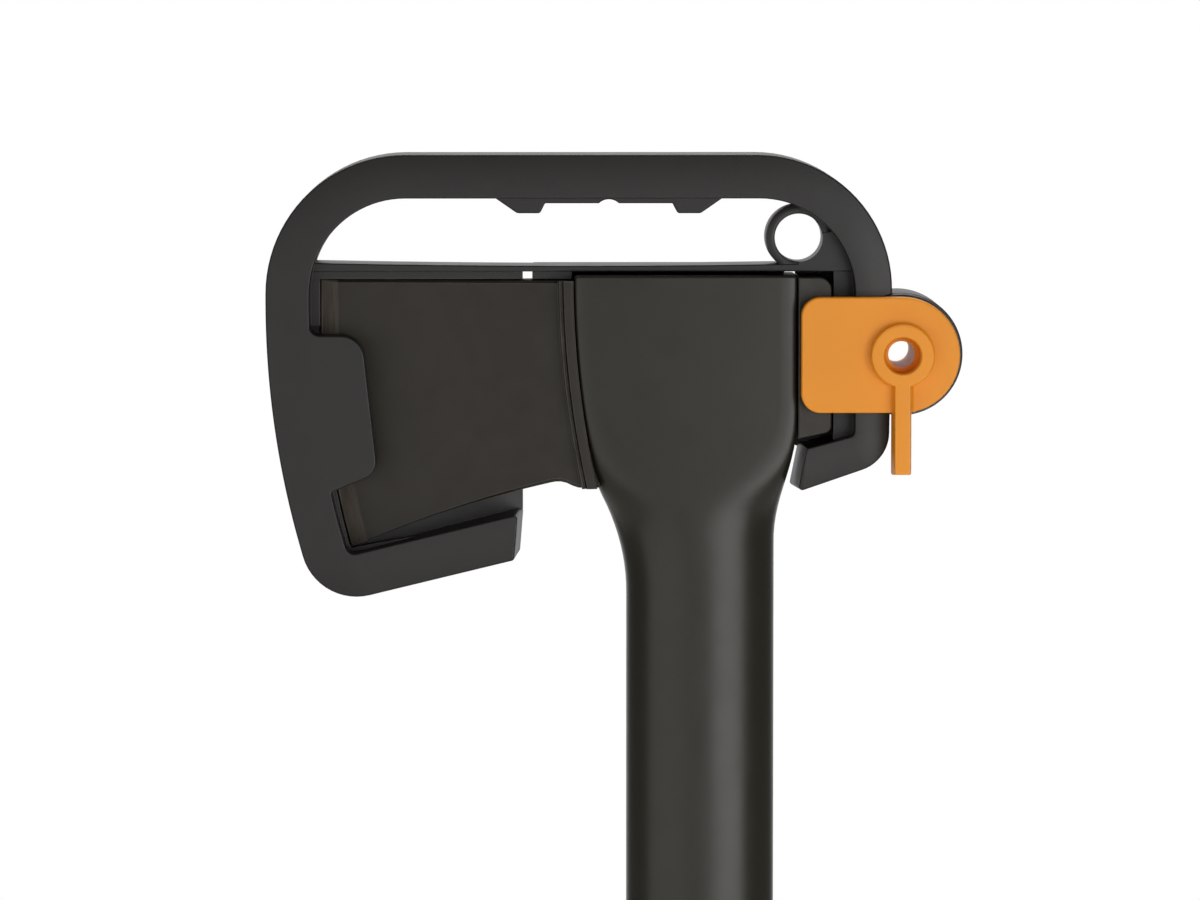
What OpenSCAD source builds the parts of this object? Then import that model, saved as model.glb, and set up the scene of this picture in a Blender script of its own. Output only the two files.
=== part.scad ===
// Hatchet held in a moulded blade carrier with a quarter-turn lock.
// +X points from the cutting edge to the poll, +Z points up and -Y is the front, where the lock turns.
// The origin is the crown of the hang notch, under the carry bar.

/* [Axe head] */
// Height of the cutting edge, from its top corner to the heel
edge_len = 67.5; // [60:0.1:76]
// Straight stretch at the top of the cutting edge
edge_straight = 13; // [8:0.5:20]
// Radius in which the cutting edge curves back to the heel
edge_r = 200; // [180:5:320]
// Length of the head along its top, from the cutting edge to the poll
head_len = 128.1; // [118:0.1:138]
// Thickness of the steel poll
poll_t = 23.4; // [18:0.2:24]
// Height of the steel poll
poll_h = 39.75; // [34:0.25:41]
// Chamfer at the top and bottom corners of the poll
poll_chamfer = 2.6; // [1:0.1:4]
// How far the steel poll stands out of the handle
poll_out = 8.6; // [6:0.1:10]
// Width of the ground bevel along the cutting edge
bevel_w = 4.2; // [2:0.1:6]
// Thickness of the blade where the ground bevel ends
bevel_t = 3; // [2:0.1:4]
// Thickness of the cheeks where they meet the lip
cheek_t = 16.6; // [14:0.2:18]
// Hollow of the cheeks against a flat wedge, on each side
cheek_hollow = 1.1; // [0:0.1:2]
// Width of the raised steel lip in front of the handle
lip_w = 3.9; // [2:0.1:6]
// Thickness of the head over the raised lip
lip_t = 21.6; // [19:0.2:23]
// Thickness of the steel core inside the handle
core_t = 15; // [10:0.5:16]
// Steel left off the core at its top and at its bottom
core_inset = 4; // [3:0.25:8]
// Rise of the lower edge of the blade from the heel, in degrees
beard_rise = 18; // [16:0.2:22]
// Bow of the blade's lower edge, above its chord, before its middle is rounded off
beard_bow = 2.4; // [1.6:0.1:3]
// Radius of the turn between the blade's lower edge and the lip
beard_r = 6; // [3:0.5:7]
// Drop of the top of the poll below the top of the handle
poll_step = 0.4; // [0:0.1:1.5]
// Drop of the top of the blade below the top of the handle
blade_step = 1.4; // [0.4:0.1:3]
// Reach of the lip below the poll
lip_drop = 16; // [12:0.5:20]

/* [Handle] */
// Length of the axe from the top of the handle to its pommel
handle_len = 355; // [330:1:400]
// Thickness of the handle where it wraps the head
wrap_t = 24; // [24:0.2:27]
// Distance from the poll side of the wrap to the blade side at its top
wrap_w = 55.9; // [52:0.1:60]
// Radius of the sweep of the wrap's front edge
wrap_sweep_r = 240; // [200:5:320]
// Seam between the steel and the moulded handle
seam = 0.2; // [0.1:0.05:0.4]
// Width of the handle shaft
shaft_w = 37.3; // [32:0.1:40]
// Depth of the handle shaft
shaft_d = 25; // [22:0.5:27]
// Height of the neck, in which the wrap narrows to the shaft
neck_h = 30; // [24:1:36]
// How far the neck begins above the underside of the poll
neck_lap = 3.2; // [2:0.2:6]
// Width that the poll side of the handle loses through the neck
neck_in = 5.45; // [4:0.05:9]
// Height of the toe, where the blade side of the handle runs out to the shaft
toe_h = 26; // [20:1:32]
// Wall of the hollow handle
handle_wall = 4.2; // [3:0.1:6]
// Height of the middle of the belly over the pommel's end
belly_up = 105; // [85:1:130]
// Height over which the grip flares into the pommel
flare_h = 52; // [36:1:64]
// How square the wrap's outline is: 2 is an ellipse
wrap_square = 14; // [6:0.5:16]
// How square the shaft's outline is: 2 is an ellipse
shaft_square = 2.25; // [2:0.05:3.5]
// Extra width of the belly of the grip
belly_w = 3; // [0:0.25:6]
// Extra reach of the pommel towards the blade
pommel_hook = 13; // [6:0.5:18]
// Extra reach of the pommel away from the blade
pommel_back = 3; // [0:0.5:6]
// Extra depth of the pommel
pommel_depth = 3; // [0:0.5:6]

/* [Grip and end cap] */
// Length of the soft grip sleeve
grip_len = 140; // [110:1:160]
// Thickness of the soft grip sleeve
grip_t = 1.6; // [1.2:0.1:2.4]
// Length of the pommel end cap outside the handle
cap_len = 14; // [10:0.5:18]
// Length of the end cap's spigot inside the hollow handle
spigot_len = 22; // [12:1:30]
// Gap between the spigot and the hollow handle
spigot_gap = 0.05; // [0.05:0.05:0.2]

/* [Carrier] */
// Distance of the hang notch behind the top corner of the cutting edge
notch_offset = 72.25; // [60:0.25:80]
// Depth of the hang notch
notch_depth = 1; // [0.8:0.1:2]
// Radius of the hang notch
notch_r = 3.6; // [2.5:0.1:5]
// Height of the carry bar
bar_h = 11; // [9:0.25:14]
// Height of the pad under the carry bar
pad_h = 1.25; // [1:0.05:2.5]
// Half of the length of the pad, between its stops
pad_half = 16.6; // [14:0.2:22]
// Length of each stop along the bar
stop_w = 6.4; // [4:0.2:9]
// Drop of each stop below the crown of the hang notch
stop_drop = 3.5; // [2.5:0.1:5]
// Length of the slope behind each stop
stop_slope = 5.4; // [3:0.2:8]
// Width of the rim in front of the cutting edge
rim_w = 11; // [9:0.2:14]
// Width of the leg behind the poll
leg_w = 9.8; // [9:0.2:13]
// Height of the arm under the blade
arm_h = 11; // [8:0.25:14]
// Distance from the carrier's front face to the middle of the blade
front_reach = 12; // [12:0.1:14]
// Distance from the carrier's back face to the middle of the blade
back_reach = 12; // [11:0.1:14]
// Radius of the carry bar's corner above the blade, inside
bar_turn_r = 24; // [14:0.5:26]
// Height of the hand gap between the carry bar and the rail
hand_gap = 16.25; // [14:0.25:30]
// Thickness of the rail over the head
rail_t = 2.25; // [1.8:0.05:4]
// Sag of the rail's top between its ends
rail_sag = 0.8; // [0:0.1:1]
// Straight stretch of the rim below the top of the cutting edge, before its long bend
rim_straight = 5.6; // [5:0.1:12]
// Lean of the lower part of the rim, in degrees
rim_lean = 15.8; // [13:0.1:16]
// Rise of the arm under the blade, in degrees
arm_rise = 13.6; // [11:0.2:15]
// Length of the arm from the heel of the blade
arm_len = 43; // [36:0.5:46]
// Outer radius of the corner under the heel
heel_corner_r = 14; // [10:0.5:14]
// Inner radius of the corner under the heel
heel_in_r = 2.4; // [1:0.1:4]
// Radius of the corners at the ends of the arm and the hook
tip_r = 0.9; // [0.4:0.1:2]
// Height of the hook at its free end
hook_h = 11; // [8:0.25:12]
// Rise of the hook's upper face towards the leg, in degrees
hook_rise = 15; // [12:0.5:18]
// Outer radius of the corner between the leg and the hook
hook_corner_r = 10; // [6:0.5:11]
// Slant of the ends of the arm and the hook, from front to back
tip_draft = 1.5; // [0.5:0.25:3]
// Thickness of the floor behind the blade
floor_t = 2.6; // [2:0.1:4]
// Number of ribs behind the floor
rib_n = 3; // [2:1:4]
// Thickness of each rib
rib_t = 1.8; // [1.2:0.1:2.6]
// Thickness of the pads behind the handle and the poll
pad_t = 2.3; // [2:0.1:4]
// Depth of the strip that backs the top of the handle
strip_h = 7; // [4:0.5:10]
// Height of the tab that covers the cutting edge
tab_h = 34.5; // [26:0.5:36]
// Distance of the tab below the top corner of the cutting edge
tab_start = 13.6; // [10:0.2:16]
// How far the tab covers the blade behind its cutting edge
tab_cover = 8.8; // [6:0.2:11]
// Radius of the tab's upper corner
tab_corner_r = 6; // [4:0.5:7]
// Slope of the tab's lower end, in degrees
tab_slope = 21; // [18:1:38]
// Reach of the floor past the arm's end
floor_lap = 1.3; // [0.8:0.1:2]
// Width of the vents in the strip under the rail
vent_w = 2.4; // [2:0.1:4]

/* [Hanging ring] */
// Radius of the hole in the hanging ring
ring_hole_r = 6; // [4:0.1:7]
// Wall of the hanging ring
ring_wall = 2.3; // [1.8:0.1:3]
// Depth of the hanging ring from front to back
ring_d = 12; // [8:0.5:20]
// Distance of the ring's hole from the leg
ring_inset = 14; // [13:0.1:16]
// Depth of the web between the ring and the leg
web_d = 6; // [3:0.5:10]

/* [Lock] */
// Radius of the lug that carries the lock
lug_r = 15.4; // [13:0.1:17]
// Distance of the lock's pivot behind the poll
pivot_back = 17.4; // [16:0.1:18]
// Distance of the lock's pivot below the top of the poll
pivot_down = 19.25; // [18:0.25:22]
// Half of the height of the lock's flag, and the radius of its round end
flag_r = 14.5; // [13:0.1:15]
// Reach of the flag from the pivot, over the poll
flag_reach = 25.2; // [23:0.1:25.5]
// Radius of the flag's outer corners
flag_corner_r = 4.8; // [3:0.1:8]
// Thickness of the flag
flag_t = 4; // [3:0.25:6]
// Radius of the raised ring round the pivot
boss_r = 7.9; // [7.6:0.1:9]
// Height of the raised ring and of the lever over the flag
boss_h = 3.2; // [2:0.1:5]
// Radius of the eye in the raised ring
eye_r = 4.4; // [3.8:0.1:4.8]
// Radius of the hole behind the eye, through the hollow pivot
bore_r = 3.3; // [2.8:0.1:3.6]
// Outer radius of the lock's hollow pivot
pivot_r = 6.6; // [6.2:0.1:7.2]
// Radial clearance of the hollow pivot in its lug
pivot_gap = 0.08; // [0.04:0.01:0.1]
// Length of the lever from the pivot
lever_len = 30.3; // [24:0.1:36]
// Width of the lever
lever_w = 4.8; // [3.5:0.1:7]
// Radius of the keeper ring behind the lug
keeper_r = 10.5; // [9:0.1:12]
// Thickness of the keeper ring
keeper_t = 2.6; // [2:0.1:4]

/* [Clearances] */
// Gap between the rail and the top of the handle
rail_gap = 0.85; // [0.4:0.05:2]
// Gap between the cutting edge and the rim at its top
edge_gap = 2.75; // [1:0.05:4]
// Gap between the heel and the rim
heel_gap = 1.2; // [0.8:0.1:2.5]
// Gap between the poll and the leg
poll_gap = 5.85; // [4:0.05:8]
// Gap between the poll and the hook
hook_gap = 0.8; // [0.4:0.05:2]
// Gap between the blade and the floor and tab on its two sides
cheek_gap = 0.8; // [0.4:0.05:1.5]
// Gap between the head and the pads behind it, and between the lock and what it turns over
face_gap = 0.3; // [0.3:0.05:0.6]
// Gap between the hook's end and the widest part of the handle
throat_gap = 2.4; // [2.2:0.1:4]

/* [Hidden] */
$fn = 64;
eps = 0.01;
ARC_STEP = 5;
RING_SIDES = 32;

// Heights, from the hang notch down
bar_under = pad_h - notch_depth;
bar_top = bar_under + bar_h;
rail_top = bar_under - hand_gap;
rail_under = rail_top - rail_t;
wrap_top = rail_under - rail_gap;
poll_top = wrap_top - poll_step;
poll_under = poll_top - poll_h;
edge_top = wrap_top - blade_step;

// Places along the head
edge_x = -notch_offset;
poll_x = edge_x + head_len;
wrap_right = poll_x - poll_out;
wrap_left = wrap_right - wrap_w;
lip_left = wrap_left - seam - lip_w;
heel = [edge_x + edge_back(edge_top - edge_len), edge_top - edge_len];
chord_lean = atan((heel.x - edge_x) / edge_len);
beard_x = lip_left + lip_w / 4;
beard_top = heel.y + (beard_x - heel.x) * tan(beard_rise);
lip_under = poll_under - lip_drop;
neck_top = wrap_top - poll_step - poll_h + neck_lap;
pommel_z = wrap_top - handle_len;

// Lines of the carrier
inner_left = edge_x - edge_gap;
inner_right = poll_x + poll_gap;
outer_left = inner_left - rim_w;
outer_right = inner_right + leg_w;
bar_corner_r = bar_turn_r + rim_w;
bend_in = [inner_left, heel.y + (heel.x - heel_gap - inner_left) / tan(rim_lean)];
bend_out = [outer_left, bend_in.y - rim_w * tan(rim_lean / 2)];
arm_in = [heel.x, heel.y - heel_gap];
arm_out = arm_in + arm_h * [sin(arm_rise), -cos(arm_rise)];
heel_in = meet(bend_in, rim_lean - 90, arm_in, arm_rise);
heel_in_run = heel_in_r / tan((90 + rim_lean - arm_rise) / 2);
rim_bend_run = min(edge_top - rim_straight - bend_in.y, norm(heel_in - bend_in) - heel_in_run - tip_r);
rim_bend_r = rim_bend_run / tan(rim_lean / 2);
heel_out = meet(bend_out, rim_lean - 90, arm_out, arm_rise);
arm_tip_in = arm_in + arm_len * [cos(arm_rise), sin(arm_rise)];
arm_tip_out_x = arm_tip_in.x - arm_h / 12;
arm_tip_out = [arm_tip_out_x, arm_out.y + (arm_tip_out_x - arm_out.x) * tan(arm_rise)];
arm_draft = tip_draft / cos(arm_rise) * [cos(arm_rise), sin(arm_rise)];
hook_tip_x = wrap_right + throat_gap;
hook_in = [inner_right, poll_under - hook_gap + poll_gap * tan(hook_rise) / 2];
hook_tip_in = [hook_tip_x, hook_in.y - (inner_right - hook_tip_x) * tan(hook_rise)];
hook_tip_out = [hook_tip_x - hook_h / 5, hook_tip_in.y - hook_h];
hook_draft = -tip_draft / cos(hook_rise) * [cos(hook_rise), sin(hook_rise)];
hook_out_x = outer_right - leg_w / 8;
hook_out = [hook_out_x, hook_tip_out.y + (hook_out_x - hook_tip_out.x) * tan(hook_rise + 4)];
strip_left = arm_tip_in.x + floor_lap + vent_w;
strip_right = wrap_right - vent_w;
pad_left = wrap_right + face_gap;
back_pad = wrap_t / 2 + face_gap;

// Lock
pivot = [poll_x + pivot_back, poll_top - pivot_down];
ring_c = [inner_right - ring_inset, rail_top + ring_hole_r + ring_wall / 10];
flag_back = front_reach + face_gap;
keeper_front = back_reach + face_gap;

// Where the line through p at angle a meets the line through q at angle b
function meet(p, a, q, b) =
    let (d = q - p, k = cos(a) * sin(b) - sin(a) * cos(b))
    p + (d.x * sin(b) - d.y * cos(b)) / k * [cos(a), sin(a)];

function unit(v) = v / norm(v);
function flat(v) = [v.x, v.y];
function clamp(t) = min(1, max(0, t));
function ease(t) = let (s = clamp(t)) s * s * (3 - 2 * s);
function bump(t) = t <= -1 || t >= 1 ? 0 : pow(cos(90 * t), 2);

// One corner of an outline at b, rounded to radius r, as the points of its arc
function corner(a, b, c, r) =
    r <= 0 ? [b] :
    let (u = unit(a - b), v = unit(c - b), half = acos(u * v) / 2,
         mid = b + unit(u + v) * r / sin(half),
         from = b + u * r / tan(half) - mid,
         start = atan2(from.y, from.x),
         side = u.x * v.y - u.y * v.x > 0 ? -1 : 1,
         turn = side * (180 - 2 * half),
         n = max(3, ceil(abs(turn) / ARC_STEP)))
    [for (i = [0 : n]) mid + r * [cos(start + turn * i / n), sin(start + turn * i / n)]];

// A closed outline from corners given as [x, z, radius]
function rounded(p) =
    let (n = len(p))
    [for (i = [0 : n - 1]) each corner(flat(p[(i + n - 1) % n]), flat(p[i]), flat(p[(i + 1) % n]), p[i].z)];

function corner_at(p, r) = [p.x, p.y, r];

// Extrudes an outline drawn in X and Z from depth y0 to depth y1
module slab(y0, y1) {
    translate([0, y1, 0]) rotate([90, 0, 0]) linear_extrude(height = y1 - y0) children();
}

// A round hole or post along Y, at the place p in X and Z
module along_y(p, r, y0, y1) {
    translate([p.x, y1, p.y]) rotate([90, 0, 0]) cylinder(h = y1 - y0, r = r);
}

// ---- Axe head ----

// Sweep of the lip and of the wrap's front edge, measured back from its top
function sweep(z) = pow(wrap_top - z, 2) / (2 * wrap_sweep_r);

// How far the cutting edge lies behind its top corner at height z
function edge_back(z) =
    let (d = max(0, edge_top - edge_straight - z))
    edge_r - sqrt(edge_r * edge_r - d * d);

// Half of the blade's thickness at a share s of the way from the bevel to the lip
function cheek(s) = (bevel_t + (cheek_t - bevel_t) * s) / 2 - cheek_hollow * sin(180 * s);

// The blade seen from the front, up to the lip
module blade_outline() {
    n = 8;
    lip_end = lip_left + sweep(lip_under) + lip_w / 2;
    lip_foot = lip_under + lip_w * 0.65;
    edge = [for (i = [0 : n - 1]) let (z = edge_top - edge_straight - (edge_len - edge_straight) * i / n)
        [edge_x + edge_back(z), z, 0]];
    polygon(rounded(concat([[edge_x, edge_top, 0]], edge, [
        corner_at(heel, 0.8),
        [(heel.x + beard_x) / 2, (heel.y + beard_top) / 2 + beard_bow, edge_r * 1.5],
        [beard_x, beard_top, beard_r],
        [lip_end - lip_w, lip_foot, lip_w / 3],
        [lip_end, lip_foot, 0],
        [lip_left + lip_w / 2, edge_top, 0]])));
}

// The band between two swept lines, from z0 down to z1
module swept_band(x0, x1, z0, z1) {
    n = 12;
    polygon(concat(
        [for (i = [0 : n]) let (z = z0 + (z1 - z0) * i / n) [x0 + sweep(z), z]],
        [for (i = [n : -1 : 0]) let (z = z0 + (z1 - z0) * i / n) [x1 + sweep(z), z]]));
}

// The blade's thickness over its cheeks, drawn square to the chord of the cutting edge
module blade_wedge() {
    n = 8;
    run = lip_left - edge_x + 1.5 * lip_w;
    side = concat([[-bevel_w, bevel_t / 2], [bevel_w, bevel_t / 2]],
        [for (i = [1 : n]) [bevel_w + (run - bevel_w) * i / n, cheek(i / n)]]);
    back = [for (i = [len(side) - 1 : -1 : 0]) [side[i].x, -side[i].y]];
    translate([edge_x, 0, edge_top]) rotate([0, -chord_lean, 0])
        translate([0, 0, -edge_len * 1.3]) linear_extrude(height = edge_len * 1.6)
            polygon(concat(side, back));
}

// The ground bevel, as one pair of flats for each step along the cutting edge
module bevel() {
    n = 6;
    turn = asin((edge_len - edge_straight) / edge_r);
    far = lip_left - edge_x + lip_w * 7 / 6;
    flat_t = 0.15;
    deep = flat_t + (bevel_t / 2 - flat_t) * far / bevel_w;
    intersection_for(i = [0 : n]) {
        z = edge_top - edge_straight - edge_r * sin(turn * i / n);
        translate([edge_x + edge_back(z), 0, z]) rotate([0, -turn * i / n, 0])
            translate([0, 0, -edge_len * 1.3]) linear_extrude(height = edge_len * 2.6)
                polygon([[-bevel_w, flat_t], [0, flat_t], [far, deep], [far, -deep], [0, -flat_t],
                    [-bevel_w, -flat_t]]);
    }
}

module blade() {
    intersection() {
        slab(-poll_t, poll_t) blade_outline();
        blade_wedge();
        bevel();
    }
}

module poll_outline() {
    c = poll_chamfer;
    left = wrap_right + seam;
    polygon([[left, poll_top], [poll_x - c, poll_top], [poll_x, poll_top - c * 0.7],
        [poll_x, poll_under + c], [poll_x - c * 2, poll_under], [left, poll_under]]);
}

// The part of the steel that the handle is moulded round
module core() {
    z0 = poll_top - core_inset;
    z1 = poll_under + core_inset;
    slab(-core_t / 2, core_t / 2)
        polygon([[lip_left + lip_w / 2, z0], [wrap_right + poll_out / 4, z0], [wrap_right + poll_out / 4, z1],
            [lip_left + sweep(z1) + lip_w / 2, z1]]);
}

module axe_head() {
    color("#353430") {
        blade();
        slab(-lip_t / 2, lip_t / 2) intersection() {
            swept_band(lip_left, wrap_left - seam, edge_top, lip_under);
            union() {
                blade_outline();
                translate([lip_left, beard_top - beard_r * 0.15]) square([lip_w * 5, edge_len]);
            }
        }
        slab(-poll_t / 2, poll_t / 2) poll_outline();
        core();
    }
}

// ---- Handle ----

// Sides of the handle at height z
function neck(z) = ease((neck_top - z) / neck_h);
function shaft_right(z) = wrap_right - neck_in * neck(z);
function shaft_left(z) =
    let (z0 = lip_under + lip_w / 2, toe = wrap_left + sweep(z0), end = wrap_right - neck_in - shaft_w,
         s = clamp((z0 - z) / toe_h))
    z > z0 ? wrap_left + sweep(z) : end - (end - toe) * pow(1 - s, 2);
function belly(z) = bump((z - (pommel_z + belly_up)) / (0.8 * belly_up));
function flare(z) = ease((pommel_z + flare_h - z) / (0.88 * flare_h));
function left_x(z) = shaft_left(z) - belly_w * belly(z) - pommel_hook * flare(z);
function right_x(z) = shaft_right(z) + 0.4 * belly_w * belly(z) + pommel_back * flare(z);
function half_d(z) =
    let (wrap = wrap_t / 2, shaft = shaft_d / 2)
    wrap + (shaft - wrap) * neck(z) + 0.5 * belly(z) + pommel_depth / 2 * flare(z);
function square_ness(z) =
    let (soft = ease((neck_top + 4 - z) / (neck_h + 14)))
    shaft_square + (wrap_square - shaft_square) * pow(1 - soft, 2);

// One ring of the handle at height z, drawn in by inset
function ring(z, inset) =
    let (a = (right_x(z) - left_x(z)) / 2 - inset, b = half_d(z) - inset,
         mid = (right_x(z) + left_x(z)) / 2, e = 2 / square_ness(z))
    [for (i = [0 : RING_SIDES - 1]) let (t = 360 * i / RING_SIDES, c = cos(t), s = sin(t))
        [mid + a * sign(c) * pow(abs(c), e), b * sign(s) * pow(abs(s), e), z]];

// A closed solid through rings given as [z, inset], from the top down
module loft(levels) {
    n = RING_SIDES;
    m = len(levels);
    points = [for (l = levels) each ring(l.x, l.y)];
    polyhedron(points, concat(
        [[for (i = [n - 1 : -1 : 0]) i]],
        [for (k = [0 : m - 2], i = [0 : n - 1]) let (j = (i + 1) % n, p = k * n, q = p + n)
            each [[p + i, p + j, q + i], [p + j, q + j, q + i]]],
        [[for (i = [0 : n - 1]) (m - 1) * n + i]]));
}

// A tube between two insets of the handle, over the given heights from the top down
module sleeve(heights, outer, inner) {
    n = RING_SIDES;
    m = len(heights);
    points = concat([for (z = heights) each ring(z, outer)], [for (z = heights) each ring(z, inner)]);
    back = m * n;
    polyhedron(points, concat(
        [for (k = [0 : m - 2], i = [0 : n - 1]) let (j = (i + 1) % n, p = k * n, q = p + n)
            each [[p + i, p + j, q + i], [p + j, q + j, q + i],
                [back + p + i, back + q + i, back + p + j], [back + p + j, back + q + i, back + q + j]]],
        [for (i = [0 : n - 1]) let (j = (i + 1) % n) each [[i, back + i, j], [j, back + i, back + j]]],
        [for (i = [0 : n - 1]) let (j = (i + 1) % n, o = (m - 1) * n)
            each [[o + i, o + j, back + o + i], [o + j, back + o + j, back + o + i]]]));
}

function steps(a, b, n) = [for (i = [0 : n]) a + (b - a) * i / n];

cap_top = pommel_z + cap_len;
grip_bottom = cap_top + 16;
grip_top = grip_bottom + grip_len;
grip_levels = steps(grip_top, grip_bottom, 14);
neck_levels = steps(neck_top + 6, neck_top - neck_h - 18, 14);
cavity_top = neck_top - neck_h - 8;

module handle_shell() {
    color("#3c3b37") difference() {
        loft(concat(
            [[wrap_top, 1.4], [wrap_top - 0.5, 0.5], [wrap_top - 1.6, 0]],
            [for (z = steps(wrap_top - 8, neck_top + 12, 3)) [z, 0]],
            [for (z = neck_levels) [z, 0]],
            [for (z = steps(neck_top - neck_h - 40, grip_top, 4)) [z, 0]],
            [for (z = grip_levels) [z, grip_t]],
            [for (z = steps(grip_bottom, cap_top, 4)) [z, 0]]));
        core();
        loft(concat([[cavity_top, handle_wall + 3]],
            [for (z = steps(cavity_top - 4, grip_top + 4, 5)) [z, handle_wall]],
            [for (z = steps(grip_top - 6, grip_bottom + 6, 7)) [z, handle_wall + grip_t / 2]],
            [for (z = steps(grip_bottom, cap_top, 4)) [z, handle_wall]],
            [[cap_top - 1, handle_wall]]));
    }
}

module grip_sleeve() {
    color("#2c2b29") sleeve(grip_levels, 0, grip_t);
}

module end_cap() {
    spigot = handle_wall + spigot_gap;
    color("#dd933c") {
        loft(concat([for (z = steps(cap_top, pommel_z + 5, 3)) [z, 0]],
            [[pommel_z + 2, 1.2], [pommel_z + 0.6, 3], [pommel_z, 5.5]]));
        loft(concat([[cap_top + spigot_len * 0.7, spigot + 0.6]],
            [for (z = steps(cap_top + spigot_len * 0.6, cap_top - eps, 2)) [z, spigot]]));
    }
}

// ---- Blade carrier ----

// The C-shaped rim, from the arm's tip round the blade, over the carry bar and down to the hook
module rim_outline() {
    polygon(rounded([
        corner_at(arm_tip_out + arm_draft, tip_r), corner_at(heel_out, heel_corner_r),
        corner_at(bend_out, rim_bend_r + rim_w),
        [outer_left, bar_top, bar_corner_r], [outer_right, bar_top, bar_turn_r + leg_w],
        corner_at(hook_out, hook_corner_r), corner_at(hook_tip_out + hook_draft, tip_r),
        corner_at(hook_tip_in + hook_draft, tip_r), corner_at(hook_in, 2 * tip_r),
        [inner_right, bar_under, bar_turn_r], [inner_left, bar_under, bar_turn_r],
        corner_at(bend_in, rim_bend_r), corner_at(heel_in, heel_in_r),
        corner_at(arm_tip_in + arm_draft, tip_r)]));
}

// Slants the end of the arm or of the hook, from p down to q on the front face, towards side 1 or -1
module tip_cut(p, q, side) {
    slope = side * tip_draft / (front_reach + back_reach);
    lean = atan2(p.x - q.x, p.y - q.y);
    margin = norm(p - q) / 2;
    far = side * (tip_draft + margin);
    translate([q.x, 0, q.y]) rotate([0, lean, 0]) translate([0, 0, -margin])
        linear_extrude(height = norm(p - q) + 2 * margin)
            polygon([[-slope, -front_reach - 1], [side * tip_draft + slope, back_reach + 1],
                [far, back_reach + 1], [far, -front_reach - 1]]);
}

// The pad under the carry bar, with a stop at each end
module grip_pad_outline() {
    side = [[pad_half - pad_h / 2, -notch_depth], [pad_half + pad_h / 2, -stop_drop],
        [pad_half + stop_w, -stop_drop], [pad_half + stop_w + stop_slope, bar_under],
        [pad_half + stop_w + stop_slope, bar_under + pad_h]];
    polygon(concat(side, [for (i = [len(side) - 1 : -1 : 0]) [-side[i].x, side[i].y]]));
}

// The tab over the middle of the cutting edge
module tab_outline() {
    top = edge_top - tab_start;
    low = top - tab_h;
    x_top = edge_x + (edge_top - top) * tan(chord_lean) + tab_cover / cos(chord_lean);
    x_low = edge_x + (edge_top - low) * tan(chord_lean) + tab_cover / cos(chord_lean);
    root = outer_left + rim_w / 2;
    foot = tab_cover * 1.25;
    polygon(rounded([[root, top, 0], [x_top, top, tab_corner_r], [x_low, low, tab_corner_r * 0.8],
        [x_low - foot, low - foot * tan(tab_slope), 0], [root + rim_w / 2, low - foot * tan(tab_slope), 0]]));
}

// The region behind the blade, from the rim to the arm's tip
module floor_outline() {
    lap = rim_w / 5;
    right = arm_tip_in.x + floor_lap;
    polygon([[inner_left - lap, rail_under + rail_t / 2], [right, rail_under + rail_t / 2],
        [right, arm_tip_in.y], [arm_tip_in.x, arm_tip_in.y - lap], [heel_in.x, heel_in.y - lap],
        [heel_in.x - lap, heel_in.y], [bend_in.x - lap, bend_in.y]]);
}

// Inner face of the floor and of the tab, which follow the slope of the cheeks, at a place x
function floor_y(x) =
    let (slope = (cheek_t - bevel_t) / 2 / (lip_left - edge_x - bevel_w))
    bevel_t / 2 + cheek_gap + slope * max(0, x - edge_x);

// A wall whose inner face follows the cheek, drawn from above; thick = 0 fills out to the depth far
module cheek_wall(x0, x1, thick, far) {
    lean = floor_y(x1) - floor_y(edge_x);
    translate([0, 0, heel_out.y]) linear_extrude(height = rail_top - heel_out.y)
        polygon([[x0, floor_y(x0)], [edge_x, floor_y(edge_x)], [x1, floor_y(edge_x) + lean],
            [x1, thick > 0 ? floor_y(x1) + thick : far], [edge_x, thick > 0 ? floor_y(edge_x) + thick : far],
            [x0, thick > 0 ? floor_y(x0) + thick : far]]);
}

module blade_floor() {
    difference() {
        union() {
            intersection() {
                slab(0, back_reach) floor_outline();
                cheek_wall(inner_left - rim_w / 2, arm_tip_in.x + 2 * floor_lap, floor_t, 0);
            }
            intersection() {
                slab(0, back_reach - rib_t) floor_outline();
                cheek_wall(inner_left - rim_w / 2, arm_tip_in.x + 2 * floor_lap, 0, back_reach);
                floor_ribs();
            }
        }
        slab(-1, back_reach + 1) window_outline();
    }
}

// Upright ribs that stiffen the floor from behind, the last along its free edge
module floor_ribs() {
    pitch = (arm_tip_in.x - inner_left) / rib_n;
    for (i = [1 : rib_n])
        translate([inner_left + pitch * i - rib_t, 0, heel_out.y])
            cube([rib_t, back_reach, rail_top - heel_out.y]);
}

// The window through the floor behind the tab
module window_outline() {
    margin = tab_h / 6;
    top = edge_top - tab_start - margin;
    x = edge_x + (tab_start + margin) * tan(chord_lean) + tab_cover / 5;
    low = top - tab_h + 2 * margin;
    lean = (top - low) * tan(chord_lean);
    w = tab_cover * 0.65;
    r = w / 4;
    polygon(rounded([[x, top, r], [x + w, top, r], [x + w + lean, low, r], [x + lean, low, r]]));
}

module tab() {
    intersection() {
        slab(-front_reach, 0) tab_outline();
        mirror([0, 1, 0]) cheek_wall(outer_left, edge_x + 4 * tab_cover, 0, front_reach);
    }
}

// Pads behind the handle's top edge and behind the poll, lapped on to the rail and the leg
module back_pads() {
    back = back_pad + pad_t;
    difference() {
        pad_plates(back);
        along_y(pivot, keeper_r + face_gap * 2, back_reach, back + 1);
    }
}

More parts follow.
